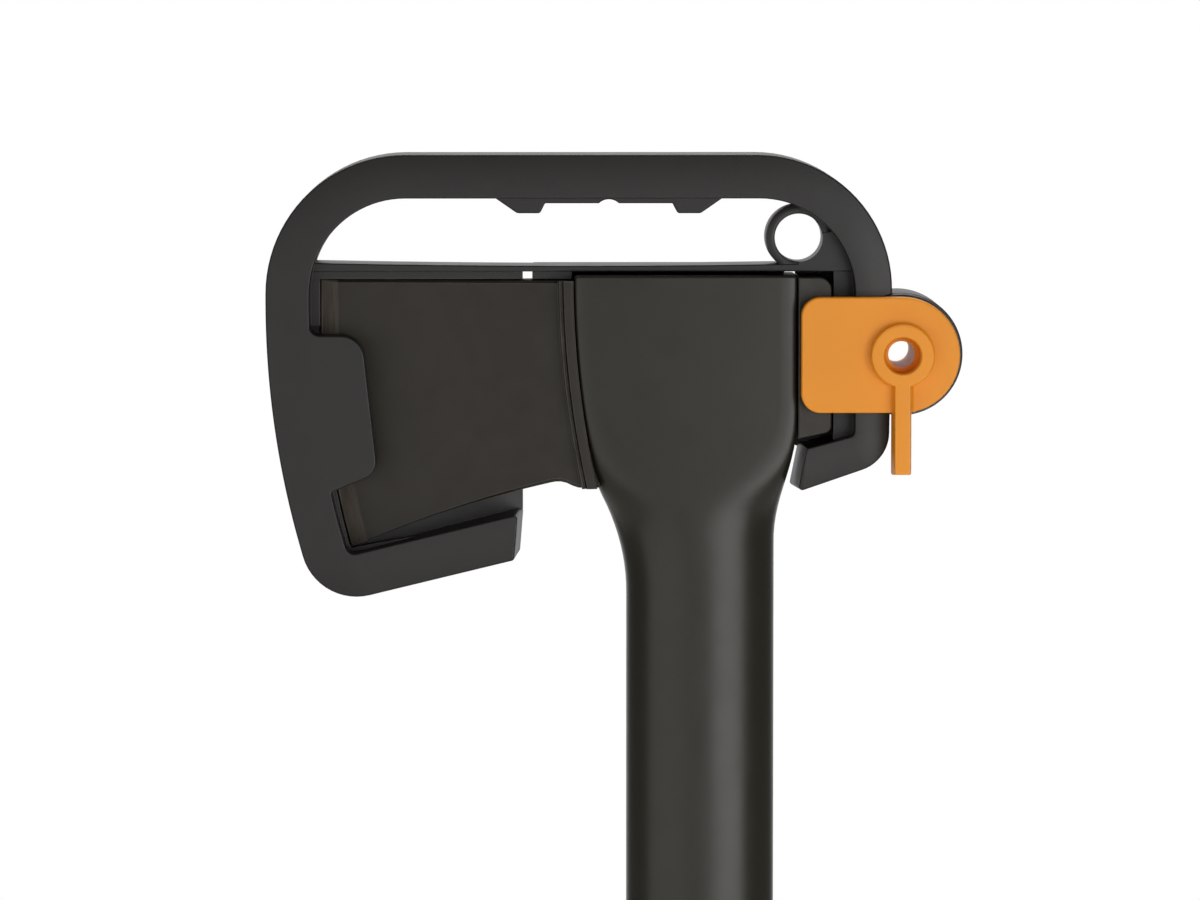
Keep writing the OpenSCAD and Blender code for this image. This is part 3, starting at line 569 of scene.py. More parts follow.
# The rim runs down past its bend to the heel, where the arm starts; the hook ends the leg
BEND_IN = Vector((INNER_LEFT, HEEL.y + (HEEL.x - HEEL_GAP - INNER_LEFT) / math.tan(RIM_LEAN)))
BEND_R = (EDGE_TOP - RIM_STRAIGHT - BEND_IN.y) / math.tan(RIM_LEAN / 2)
BEND_OUT = Vector((OUTER_LEFT, BEND_IN.y - RIM_W * math.tan(RIM_LEAN / 2)))
ARM_IN = Vector((HEEL.x, HEEL.y - HEEL_GAP))
ARM_OUT = ARM_IN + ARM_H * Vector((math.sin(ARM_RISE), -math.cos(ARM_RISE)))
RIM_SLANT = RIM_LEAN - math.pi / 2
HEEL_IN = meet(BEND_IN, RIM_SLANT, ARM_IN, ARM_RISE)
HEEL_OUT = meet(BEND_OUT, RIM_SLANT, ARM_OUT, ARM_RISE)
ARM_RUN = Vector((math.cos(ARM_RISE), math.sin(ARM_RISE)))
ARM_TIP_IN = ARM_IN + ARM_LEN * ARM_RUN
ARM_TIP_OUT = Vector((ARM_TIP_IN.x - ARM_H / 12,
                      ARM_OUT.y + (ARM_TIP_IN.x - ARM_H / 12 - ARM_OUT.x) * math.tan(ARM_RISE)))
HOOK_RUN = Vector((-math.cos(HOOK_RISE), -math.sin(HOOK_RISE)))
HOOK_TIP_X = WRAP_RIGHT + THROAT_GAP
HOOK_IN = Vector((INNER_RIGHT, POLL_UNDER - HOOK_GAP + POLL_GAP * math.tan(HOOK_RISE) / 2))
HOOK_TIP_IN = Vector((HOOK_TIP_X, HOOK_IN.y - (INNER_RIGHT - HOOK_TIP_X) * math.tan(HOOK_RISE)))
HOOK_TIP_OUT = Vector((HOOK_TIP_X - HOOK_H / 5, HOOK_TIP_IN.y - HOOK_H))
HOOK_OUT_X = OUTER_RIGHT - LEG_W / 8
HOOK_OUT = Vector((HOOK_OUT_X, HOOK_TIP_OUT.y + (HOOK_OUT_X - HOOK_TIP_OUT.x)
                   * math.tan(HOOK_RISE + math.radians(4))))
STRIP_LEFT, STRIP_RIGHT = ARM_TIP_IN.x + FLOOR_LAP + VENT_W, WRAP_RIGHT - VENT_W
PAD_LEFT = WRAP_RIGHT + FACE_GAP
BACK_PAD = WRAP_HALF + FACE_GAP


def rim_outline(y):
    """The C-shaped rim at depth y; the ends of its arm and hook slant from front to back."""
    share = (y - FRONT) / (BACK - FRONT)
    arm = ARM_RUN * TIP_DRAFT / math.cos(ARM_RISE) * share
    hook = HOOK_RUN * TIP_DRAFT / math.cos(HOOK_RISE) * share
    return round_corners(
        (*(ARM_TIP_OUT + arm), TIP_R), (*HEEL_OUT, HEEL_R), (*BEND_OUT, BEND_R + RIM_W),
        (OUTER_LEFT, BAR_TOP, BAR_TURN_R + RIM_W), (OUTER_RIGHT, BAR_TOP, BAR_TURN_R + LEG_W),
        (*HOOK_OUT, HOOK_R), (*(HOOK_TIP_OUT + hook), TIP_R), (*(HOOK_TIP_IN + hook), TIP_R),
        (*HOOK_IN, 2 * TIP_R), (INNER_RIGHT, BAR_UNDER, BAR_TURN_R), (INNER_LEFT, BAR_UNDER, BAR_TURN_R),
        (*BEND_IN, BEND_R), (*HEEL_IN, HEEL_IN_R), (*(ARM_TIP_IN + arm), TIP_R))


def rim_solid(edge, inner_edge, fall):
    """The rim, whose front falls away towards its outer edge and keeps a crisp inner edge."""
    back_edge, across = 0.9, 8
    # Each ring is an inset and a depth along the outer edge, then along the inner one
    rings = [(edge * u, FRONT + fall + edge * v, inner_edge * u, FRONT + inner_edge * v)
             for u, v in quarter(5)]
    rings += [(back_edge * v, BACK - back_edge * u) * 2 for u, v in quarter(5)]
    counts = arc_counts(rim_outline(FRONT))
    counts = [max(pair) for pair in zip(counts, counts[::-1])]
    loops = []
    for d_out, y_out, d_in, y_in in rings:
        points = trace(shrink(rim_outline(y_in), [d_in] * 7 + [d_out] * 6 + [d_in]), counts)
        half = len(points) // 2
        inner, outer = points[:half], points[:half - 1:-1]

        def at(j, k):
            """The point k steps of the way from the inner edge to the outer one."""
            place, share = inner[j].lerp(outer[j], k / across), (k / across) ** 2
            return (place.x, y_in + (y_out - y_in) * share, place.y)

        loops.append([at(j, 0) for j in range(half)] + [at(half - 1, k) for k in range(1, across)]
                     + [at(j, across) for j in range(half - 1, -1, -1)]
                     + [at(0, k) for k in range(across - 1, 0, -1)])
        if len(loops) == 1:
            face = [[at(j, k) for k in range(across + 1)] for j in range(half)]
    verts = [Vector(p) * MM for row in loops + face for p in row]
    n, base = len(loops[0]), len(loops[0]) * len(loops)
    faces = [tuple(range(base - n, base))]
    for a in range(0, base - n, n):
        faces += [(a + i, a + n + i, a + n + (i + 1) % n, a + (i + 1) % n) for i in range(n)]
    for a in range(base, len(verts) - across - 1, across + 1):
        faces += [(a + k, a + k + 1, a + across + k + 2, a + across + k + 1) for k in range(across)]
    return closed_solid("rim", verts, faces)


def grip_pad_outline():
    """The pad under the carry bar, with a stop at each end."""
    side = [(PAD_HALF - PAD_H / 2, -NOTCH_DEPTH, 0.4), (PAD_HALF + PAD_H / 2, -STOP_DROP, 0.9),
            (PAD_HALF + STOP_W, -STOP_DROP, 1.6), (PAD_HALF + STOP_W + STOP_SLOPE, BAR_UNDER, 0.8),
            (PAD_HALF + STOP_W + STOP_SLOPE + 1.2, BAR_UNDER + 3, 0.2)]
    return round_corners(*side, *[(-x, z, r) for x, z, r in side[::-1]])


def cheek_line(x):
    """Half of the room left for the blade at x, its clearance included."""
    slope = (CHEEK_T - BEVEL_T) / 2 / (LIP_LEFT - EDGE_X - BEVEL_W)
    return BEVEL_T / 2 + CHEEK_GAP + slope * max(0, x - EDGE_X)


def rim_inner(z):
    """Where the rim's inner edge stands at height z, down to the end of its bend."""
    down = max(0, EDGE_TOP - RIM_STRAIGHT - z)
    return INNER_LEFT + BEND_R - math.sqrt(BEND_R ** 2 - down ** 2)


def tab_solid():
    """The tab over the middle of the cutting edge, flush with the rim and hollowed for the cheek."""
    rise, drop, lap, root = 5, 3, 0.25, 1.2
    top = EDGE_TOP - TAB_START
    low = top - TAB_H
    x_top, x_low = (EDGE_X + (EDGE_TOP - z) * math.tan(CHORD_LEAN) + TAB_COVER / math.cos(CHORD_LEAN)
                    for z in (top, low))
    foot = low - (x_low - rim_inner(low)) * math.tan(TAB_SLOPE)
    tab = moulding("tab", round_corners(
        *[(rim_inner(z) - root, z) for z in (foot - drop, low, top - TAB_H / 2)],
        (INNER_LEFT - root, top + rise), (rim_inner(top + rise) - lap, top + rise),
        (rim_inner(top) - lap, top, 2.8), (x_top, top, TAB_CORNER_R), (x_low, low, 0.8 * TAB_CORNER_R),
        (rim_inner(foot) - lap, foot, 1.2), (rim_inner(foot - drop) - lap, foot - drop)),
        soft_rings(FRONT + HAIR / 5, 0, 0.45, 0.1))
    far, left = EDGE_X + 4 * TAB_COVER, OUTER_LEFT - 1
    room = [(left, -cheek_line(EDGE_X)), (EDGE_X, -cheek_line(EDGE_X)), (far, -cheek_line(far)),
            (far, 5), (left, 5)]
    return combine(tab, "DIFFERENCE", [plan_prism("blade room", room, top + 9, foot - 9)])


def floor_outline():
    """The region behind the blade, from the rim to the tip of the arm."""
    lap = RIM_W / 5
    top = RAIL_UNDER + 1.1
    right = ARM_TIP_IN.x + FLOOR_LAP
    return round_corners((INNER_LEFT - lap, top), (right, top), (right, ARM_TIP_IN.y),
                         (ARM_TIP_IN.x, ARM_TIP_IN.y - lap), (HEEL_IN.x, HEEL_IN.y - lap),
                         (HEEL_IN.x - lap, HEEL_IN.y), (BEND_IN.x - lap, BEND_IN.y), eased=SHARP)


def floor_solid():
    """The floor behind the blade, sloped like the cheek, with its ribs and its window."""
    x0, x1 = INNER_LEFT - RIM_W / 2, ARM_TIP_IN.x + 2 * FLOOR_LAP
    near = [(x, cheek_line(x)) for x in (x0, EDGE_X, x1)]
    wall = plan_prism("wall", near + [(x, y + FLOOR_T) for x, y in near[::-1]], RAIL_TOP, HEEL_OUT.y)
    pitch = (ARM_TIP_IN.x - INNER_LEFT) / RIB_N
    ribs = []
    for i in range(1, RIB_N + 1):
        right = INNER_LEFT + pitch * i
        left, front, back = right - RIB_T, cheek_line(right) + 0.5, BACK - RIB_T
        ribs.append(plan_prism("rib", [(left, front), (right, front), (right, back), (left, back)],
                               RAIL_TOP, HEEL_OUT.y))
    outline = moulding("floor", floor_outline(), [(0, 0), (0, BACK)])
    floor = combine(combine(wall, "UNION", ribs), "INTERSECT", [outline])
    margin = TAB_H / 6
    top = EDGE_TOP - TAB_START - margin
    low = top - TAB_H + 2 * margin
    x = EDGE_X + (TAB_START + margin) * math.tan(CHORD_LEAN) + TAB_COVER / 5
    lean, w = (top - low) * math.tan(CHORD_LEAN), TAB_COVER * 0.65
    window = moulding("window", round_corners((x, top, w / 4), (x + w, top, w / 4),
                                              (x + w + lean, low, w / 4), (x + lean, low, w / 4)),
                      [(0, -1), (0, BACK + 1)])
    return combine(floor, "DIFFERENCE", [window])


def rail_solid():
    """The rail over the head, whose top sags a little between its ends."""
    x0, x1 = INNER_LEFT - RIM_W / 5, INNER_RIGHT + LEG_W / 5
    half = (x1 - x0) / 2
    sag_r = 0.98 * half / math.tan(math.atan(2 * RAIL_SAG / half))
    return moulding("rail", round_corners((x1, RAIL_UNDER), (x0, RAIL_UNDER), (x0, RAIL_TOP),
                                          (x0 + half, RAIL_TOP - 2 * RAIL_SAG, sag_r), (x1, RAIL_TOP)),
                    soft_rings(SHELF, BACK, 0.35, 0.6))


def ledge_solids():
    """Ledges inside the rim, close to the cutting edge: one above the tab, one from below it on."""
    gap, lap, low = 0.3, 0.5, EDGE_TOP - TAB_START - TAB_H - 4
    upper = moulding("upper ledge", rectangle(INNER_LEFT - lap, EDGE_X - gap, RAIL_UNDER + 0.2,
                                              EDGE_TOP - TAB_START + 2), soft_rings(LEDGE, 1, 0.15))
    line = beard_line()
    near, outer = [], []
    for k in range(9):
        z = low + (HEEL.y + 1 - low) * k / 8
        near.append((beside_edge(-gap, EDGE_TOP - z).x, z))
        outer.append((rim_inner(z) - lap, z))
    near.append((HEEL.x - 0.2, HEEL.y - gap, 0.3))
    outer.append((HEEL_IN.x - lap / 2, HEEL_IN.y - lap / 2, 1.0))
    # Under the beard the ledge thins out along the arm, and ends level with it
    for run, rise in ((1, 1.2), (10, 0.6), (20, -0.2)):
        x, z = HEEL.x + run, ARM_IN.y + run * math.tan(ARM_RISE)
        near.append((x, min(lower_edge(line, x) - gap, z + rise)))
        outer.append((x, z - lap))
    lower = moulding("lower ledge", round_corners(*near, *outer[::-1]), soft_rings(LEDGE, 1, 0.15))
    return [upper, lower]


def fill_solids():
    """Walls that close the carrier behind the rail's lower edge, and between the poll and the leg."""
    top, right = RAIL_UNDER + 0.3, ARM_TIP_IN.x + FLOOR_LAP
    lip_right = LIP_LEFT + sweep(EDGE_TOP) + LIP_W
    skirts = [moulding("skirt", rectangle(x0, x1, top, EDGE_TOP + 0.25),
                       soft_rings(SKIRT_FRONT, SKIRT_BACK, 0.1))
              for x0, x1 in ((INNER_LEFT - 1, right), (STRIP_LEFT, lip_right - 0.4))]
    x0, x1 = POLL_X + 0.7, INNER_RIGHT + 1
    recess = round_corners((x0, top), (x1, top), (x1, HOOK_IN.y - 1), (x0, HOOK_IN.y - 2.5))
    return [*skirts, moulding("recess", recess, soft_rings(RECESS_FRONT, 0, 0.1))]


def back_pads():
    """Pads behind the top of the handle and behind the poll, lapped on to the rail and the leg."""
    lap, under = LEG_W * 0.4, RAIL_UNDER + 0.05
    back = BACK_PAD + PAD_T
    top = RAIL_TOP - RAIL_SAG
    pad_rings, lap_rings = soft_rings(BACK_PAD, back, 0.3), soft_rings(BACK - 0.6, back, 0.2, 0.3)
    strip = moulding("strip", rectangle(STRIP_LEFT, STRIP_RIGHT, under, RAIL_UNDER - STRIP_H, 1.2),
                     pad_rings)
    plate = moulding("plate", round_corners(
        (PAD_LEFT, under, 0.3), (INNER_RIGHT + 0.2, under), (INNER_RIGHT + 0.2, HOOK_IN.y - 1),
        (HOOK_TIP_X, HOOK_TIP_IN.y - 1, 0.3), (PAD_LEFT, HOOK_TIP_IN.y - 1, 0.5)), pad_rings)
    strip_lap = moulding("strip lap", round_corners(
        (STRIP_LEFT, top, 0.6), (STRIP_RIGHT, top, 0.6), (STRIP_RIGHT, RAIL_UNDER),
        (STRIP_LEFT, RAIL_UNDER)), lap_rings)
    plate_lap = moulding("plate lap", round_corners(
        (PAD_LEFT, RAIL_UNDER), (PAD_LEFT, top, 0.6), (INNER_RIGHT + lap, top, 1.2),
        (INNER_RIGHT + lap, HOOK_IN.y - lap, 1.2), (PAD_LEFT + lap, HOOK_TIP_IN.y - lap, 0.8),
        (PAD_LEFT + lap, HOOK_TIP_IN.y), (INNER_RIGHT, HOOK_IN.y), (INNER_RIGHT, RAIL_UNDER)), lap_rings)
    pads = combine(strip, "UNION", [plate, strip_lap, plate_lap])
    clear_r = KEEPER_R + 2 * FACE_GAP
    return combine(pads, "DIFFERENCE", [turned("clear", PIVOT, [(clear_r, BACK), (clear_r, back + 1)])])


class HATCHET_OT_carrier(bpy.types.Operator):
    """Moulds the blade carrier: rim, rail, tab, floor, pads, hanging ring and lock lug"""
    bl_idname = "hatchet.carrier"
    bl_label = "Blade carrier"

    def execute(self, context):
        s = context.scene.hatchet_carrier
        bar_front, bar_back = FRONT * 5 / 6, BACK * 5 / 6
        rim = rim_solid(s.edge_round / MM, s.inner_round / MM, s.fall / MM)
        ring = turned("ring", RING_CENTRE, [(RING_HOLE_R + t, y) for t, y in both_ways(
            [(0, 5.4), (0.3, 5.9), (0.7, 6.0), (1.5, 6.0), (2.1, 5.7), (2.3, 5.1)])], closed=True)
        web_right = INNER_RIGHT + LEG_W / 8
        web = moulding("web", round_corners(
            tuple(RING_CENTRE), (web_right, RING_CENTRE.y + RING_HOLE_R / 2), (web_right, RAIL_UNDER + 0.1),
            (RING_CENTRE.x, RAIL_UNDER + 0.1)), soft_rings(SHELF - HAIR, WEB_BACK, 0.2))
        lug = turned("lug", PIVOT, both_ways([(LUG_R - 1.2, BACK), (LUG_R - 0.45, BACK - 0.15),
                                              (LUG_R, BACK - 0.9)]), sides=96)
        pad = moulding("grip pad", grip_pad_outline(), soft_rings(bar_front, bar_back, 0.5))
        body = combine(rim, "UNION", [pad, rail_solid(), tab_solid(), floor_solid(),
                                      back_pads(), web, ring, lug, *ledge_solids(), *fill_solids()])
        combine(body, "DIFFERENCE", [
            bore("notch", Vector((0, -NOTCH_R)), NOTCH_R, bar_front, bar_back),
            turned("ring hole", RING_CENTRE, [(RING_HOLE_R, SHELF - 1), (RING_HOLE_R, -SHELF)]),
            bore("lug hole", PIVOT, PIVOT_R + PIVOT_GAP, FRONT, BACK, 0.2)])
        # Satin and nearly black, with greyer edges: partly where it is handled, partly a painted highlight
        # along the rounded edges
        plastic = moulded("satin_polypropylene", s.colour, s.worn_and_highlit,
                          rough=0.42, grain=0.5, depth=0.03, ior=1.43)
        dress(body, "moulded_carrier", plastic, AXE, "carrier_plastic", "blade_carrier")
        return {"FINISHED"}


# ---- Head ----

def sweep(z):
    """How far the wrap's front edge has swept back at height z."""
    return (WRAP_TOP - z) ** 2 / (2 * SWEEP_R)


def cheek(s):
    """Half of the blade's thickness at a distance s from the cutting edge."""
    if s <= BEVEL_W:
        return (EDGE_T + (BEVEL_T - EDGE_T) * s / BEVEL_W) / 2
    run = LIP_LEFT - EDGE_X + 1.5 * LIP_W
    share = (s - BEVEL_W) / (run - BEVEL_W)
    return (BEVEL_T + (CHEEK_T - BEVEL_T) * share) / 2 - CHEEK_HOLLOW * math.sin(math.pi * share)


def beard_line():
    """The lower edge of the blade from the heel to the lip, as points from left to right."""
    end = Vector((LIP_LEFT + sweep(LIP_UNDER) + LIP_W / 2, LIP_UNDER + 0.65 * LIP_W))
    start = HEEL + 20 * Vector((-math.sin(EDGE_TURN), math.cos(EDGE_TURN)))
    middle = (HEEL + BEARD) / 2 + Vector((0, BEARD_BOW))
    outline = [(start, SHARP), (HEEL, 0.8), (middle, 1.5 * EDGE_R), (BEARD, BEARD_R),
               (end - Vector((LIP_W, 0)), LIP_W / 3), (end, SHARP), (end + Vector((0, 40)), SHARP)]
    points = trace(outline, arc_counts(outline))
    return [p for p in points if p.y < HEEL.y + 19 and p.x <= end.x + 0.01]


def lower_edge(line, x):
    """Height of a line of points at x."""
    for p, q in zip(line, line[1:]):
        if p.x <= x <= q.x and q.x > p.x:
            return p.y + (q.y - p.y) * (x - p.x) / (q.x - p.x)
    return line[0].y if x < line[0].x else line[-1].y


def beside_edge(s, d):
    """The place at a distance s behind the cutting edge, and d down from the blade's top."""
    a = max(0, d - EDGE_STRAIGHT) / (EDGE_R - s)
    run = (EDGE_R - s) * Vector((-math.cos(a), -math.sin(a)))
    return EDGE_CENTRE + run + Vector((0, max(0, EDGE_STRAIGHT - d)))


def depth_of_blade(line, s):
    """How far down the blade reaches at a distance s behind its cutting edge."""
    low, high = EDGE_STRAIGHT, 1.3 * EDGE_LEN
    for _ in range(30):
        mid = (low + high) / 2
        place = beside_edge(s, mid)
        low, high = (mid, high) if place.y > lower_edge(line, place.x) else (low, mid)
    return low


def blade_solid(soft):
    """The blade: hollow cheeks, a crisp ground bevel, and eased top and lower edges."""
    line = beard_line()
    reach = LIP_LEFT + sweep(BEARD.y) - EDGE_X + LIP_W / 2
    # Close stops on both sides of the bevel's end keep its line crisp
    stops = [0, 0.4, 1.2, 2.5, BEVEL_W - 0.15, BEVEL_W + 0.15]
    stops += [BEVEL_W + (reach - BEVEL_W) * k / 48 for k in range(1, 49)]
    loops = []
    for s in stops:
        length = depth_of_blade(line, s)
        # The top edge has a soft chamfer, and the lower one is only eased
        top, under = min(soft, cheek(s) * 0.6), cheek(s) * 0.14
        marks = [(0, top), (0.3 * top, 0.45 * top), (top, 0)]
        marks += [(length * k / 24, 0) for k in range(1, 24)]
        marks += [(length - under, 0), (length - 0.1 * under, 0.8 * under), (length, 1.2 * under)]
        across = [(beside_edge(s, d), cheek(s) - drop) for d, drop in marks]
        loops.append([(p.x, -y, p.y) for p, y in across] + [(p.x, y, p.y) for p, y in across[::-1]])
    return skin("blade", loops)


def lip_solid(bead):
    """The raised lip in front of the handle: a bead, a groove and a flat band, swept with the wrap."""
    line = beard_line()
    half = LIP_T / 2
    section = [(0.0, CHEEK_T / 2 - 0.8), (0.0, half - 0.95), (0.15, half - 0.55), (0.5 * bead, half - 0.4),
               (0.9 * bead, half - 0.55), (bead + 0.1, half - 1.2), (bead + 0.35, half - 1.25),
               (bead + 0.5, half - 0.5), (bead + 0.75, half - 0.1), (bead + 1.1, half),
               (LIP_W - 0.5, half), (LIP_W - 0.1, half - 0.2), (LIP_W, half - 0.7), (LIP_W, CORE_T / 2 - 1)]
    loops, steps = [], 48
    for k in range(steps + 1):
        loop = []
        for u, y in section:
            # Each strip ends on the beard where the wrap's sweep has taken it
            x = LIP_LEFT + u
            floor = max(lower_edge(line, x + sweep(LIP_UNDER + 4) * 0.985), LIP_UNDER)
            z = EDGE_TOP - HAIR + (floor - EDGE_TOP) * k / steps
            loop.append((x + sweep(z), -y, z))
        loops.append(loop + [(x, -y, z) for x, y, z in loop[::-1]])
    return skin("lip", loops)


class HATCHET_OT_head(bpy.types.Operator):
    """Forges the head: blade, raised lip, core and poll"""
    bl_idname = "hatchet.head"
    bl_label = "Axe head"

    def execute(self, context):
        s = context.scene.hatchet_head
        left, poll_under = WRAP_RIGHT + SEAM, POLL_UNDER - POLL_SAG
        poll = moulding("poll", round_corners(
            (left, POLL_TOP, 0.2), (POLL_X, POLL_TOP, 3.2),
            (POLL_X, poll_under + (POLL_X - left) * math.tan(POLL_RISE), 2.0), (left, poll_under, 0.2)),
            soft_rings(-POLL_HALF, POLL_HALF, 0.45))
        # The poll's cheeks close slightly towards the butt
        for v in poll.data.vertices:
            v.co.y -= math.copysign((v.co.x - left * MM) * math.tan(s.poll_taper), v.co.y)
        x0, x1 = LIP_LEFT + LIP_W / 2, WRAP_RIGHT + POLL_OUT / 4
        z0, z1 = POLL_TOP - CORE_INSET, POLL_UNDER + CORE_INSET
        core = moulding("core", round_corners(
            (x0, z0), (x1, z0), (x1, z1), (x0 + sweep(z1), z1), eased=0.5),
            [(0, -CORE_T / 2), (0, CORE_T / 2)])
        head = combine(blade_solid(s.soft_edge / MM), "UNION", [lip_solid(s.bead / MM), core, poll])
        # A dull brown-black skin that catches the light only on its bevel, with paler edges that are partly
        # rubbed steel and partly a painted highlight
        steel = coated_steel("ptfe_coated_forged_steel", s.colour, s.ground, s.bare_and_highlit)
        dress(head, "forged_head", steel, AXE, "coated_steel", "axe_head", sharp=24)
        return {"FINISHED"}


# ---- Handle, grip and end cap ----

def clamp(t):
    """A share held between 0 and 1."""
    return min(1.0, max(0.0, t))


def ease(t):
    """A share that starts and ends gently."""
    t = clamp(t)
    return t * t * (3 - 2 * t)


def neck(z):
    """How much of the way from the wrap to the shaft is done at height z."""
    return ease((NECK_TOP - z) / NECK_H)


def belly(z):
    """How much of the swelling in the middle of the grip is there at height z."""
    t = (z - (POMMEL_Z + BELLY_UP)) / (0.8 * BELLY_UP)
    return 0.0 if abs(t) >= 1 else math.cos(math.pi / 2 * t) ** 2


def flare(z):
    """How much of the pommel's flare is there at height z."""
    return ease((POMMEL_Z + FLARE_H - z) / (0.88 * FLARE_H))


def squareness(z):
    """The power of the outline's curve at height z: 2 for an ellipse, more towards a rounded square."""
    share = (1 - ease((NECK_TOP + SQUARE_LAP - z) / SQUARE_H)) ** SQUARE_FADE
    return SHAFT_SQUARE + (WRAP_SQUARE - SHAFT_SQUARE) * share


def shaft_left(z):
    """The handle's front line at height z, without belly or flare: the wrap's sweep, then the toe."""
    z0 = LIP_UNDER + LIP_W / 2
    if z > z0:
        return WRAP_LEFT + sweep(z)
    end = WRAP_RIGHT - NECK_IN - SHAFT_W
    return end - (end - WRAP_LEFT - sweep(z0)) * (1 - clamp((z0 - z) / TOE_H)) ** 2


def handle_ring(z, inset):
    """The handle's outline at height z, drawn in by inset."""
    left = shaft_left(z) - BELLY_W * belly(z) - POMMEL_HOOK * flare(z)
    right = WRAP_RIGHT - NECK_IN * neck(z) + 0.4 * BELLY_W * belly(z) + POMMEL_BACK * flare(z)
    deep = WRAP_HALF + (SHAFT_HALF - WRAP_HALF) * neck(z) + 0.5 * belly(z) + POMMEL_DEPTH / 2 * flare(z)
    power = 2 / squareness(z)
    crown = WRAP_CROWN * (1 - SHAFT_SQUARE / squareness(z))
    half, mid = (right - left) / 2 - inset, (right + left) / 2
    points, sides = [], 96
    for i in range(sides):
        c, s = math.cos(2 * math.pi * i / sides), math.sin(2 * math.pi * i / sides)
        across = math.copysign(abs(c) ** power, c)
        y = (deep - inset) * (1 - crown * across ** 2) * math.copysign(abs(s) ** power, s)
        points.append((mid + half * across, y, z))
    return points


def levels_between(start, end, step, inset=0):
    """Levels from one height to another, about step apart, all drawn in by the same inset."""
    n = max(1, math.ceil(abs(end - start) / step))
    return [(start + (end - start) * i / n, inset) for i in range(n + 1)]


def loft(name, levels):
    """A solid through the handle's rings, given as height and inset from the top down."""
    return skin(name, [handle_ring(z, inset) for z, inset in levels])


class HATCHET_OT_handle(bpy.types.Operator):
    """Moulds the hollow handle round the head"""
    bl_idname = "hatchet.handle"
    bl_label = "Handle"

    def execute(self, context):
        s = context.scene.hatchet_handle
        r = s.wrap_round / MM
        levels = [(WRAP_TOP - r * v, r * u) for u, v in quarter()]
        levels += levels_between(WRAP_TOP - 4, GRIP_TOP + 0.5, 2.5)
        # The nylon steps in under the soft grip, with eased edges beside it
        levels += [(GRIP_TOP + 0.15, 0.12), (GRIP_TOP, 0.5), (GRIP_TOP - HAIR, GRIP_T)]
        levels += levels_between(GRIP_TOP - 3, GRIP_BOTTOM + 3, 4, GRIP_T)
        levels += [(GRIP_BOTTOM + HAIR, GRIP_T), (GRIP_BOTTOM, 0.5), (GRIP_BOTTOM - 0.15, 0.12)]
        levels += levels_between(GRIP_BOTTOM - 0.5, CAP_TOP + 1, 2.5)
        levels += [(CAP_TOP + 0.5, 0.1), (CAP_TOP, s.groove / MM)]
        shell = loft("shell", levels)
        cavity = [(CAVITY_TOP, WALL + 3)]
        cavity += levels_between(CAVITY_TOP - 4, GRIP_TOP + 4, 5, WALL)
        cavity += levels_between(GRIP_TOP - 6, GRIP_BOTTOM + 6, 8, WALL + GRIP_T / 2)
        cavity += levels_between(GRIP_BOTTOM, CAP_TOP - 1, 4, WALL)
        combine(shell, "DIFFERENCE", [loft("cavity", cavity)])
        # Smoother than the carrier, so a long soft highlight runs down the shaft
        nylon = moulded("glass_filled_nylon", s.colour, s.worn_and_highlit,
                        rough=0.33, grain=0.4, depth=0.02, ior=1.42)
        dress(shell, "moulded_handle", nylon, AXE, "handle_nylon", "handle_shell")
        return {"FINISHED"}


def lozenge_lattice(s):
    """Places for the lozenges on the grip's skin, as a mesh of points that know which way is out."""
    places, facing = [], []
    row_pitch, pitch, margin = s.row_pitch / MM, s.pitch / MM, 8
    rows = int((GRIP_TOP - GRIP_BOTTOM - 2 * margin) / row_pitch)
    for row in range(rows + 1):
        z = GRIP_TOP - margin - row * row_pitch
        ring = [Vector(p) for p in handle_ring(z, 0)]
        above = [Vector(p) for p in handle_ring(z + 1, 0)]
        lengths = [(ring[(i + 1) % len(ring)] - ring[i]).length for i in range(len(ring))]
        total = sum(lengths)
        n = int(total / pitch)
        for k in range(n):
            # Every other row is set half a pitch on
            goal = total * ((k + 0.5 * (row % 2)) % n) / n
            i = 0
            while goal > lengths[i] and i < len(ring) - 1:
                goal -= lengths[i]
                i += 1
            j = (i + 1) % len(ring)
            share = goal / lengths[i]
            place = ring[i].lerp(ring[j], share)
            along = (ring[j] - ring[i]).normalized()
            up = (above[i].lerp(above[j], share) - place).normalized()
            places.append(place * MM)
            facing.append(along.cross(up).normalized())
    mesh = bpy.data.meshes.new("lozenge_places")
    mesh.from_pydata(places, [], [])
    out = mesh.attributes.new("facing", "FLOAT_VECTOR", "POINT")
    out.data.foreach_set("vector", [c for v in facing for c in v])
    return mesh


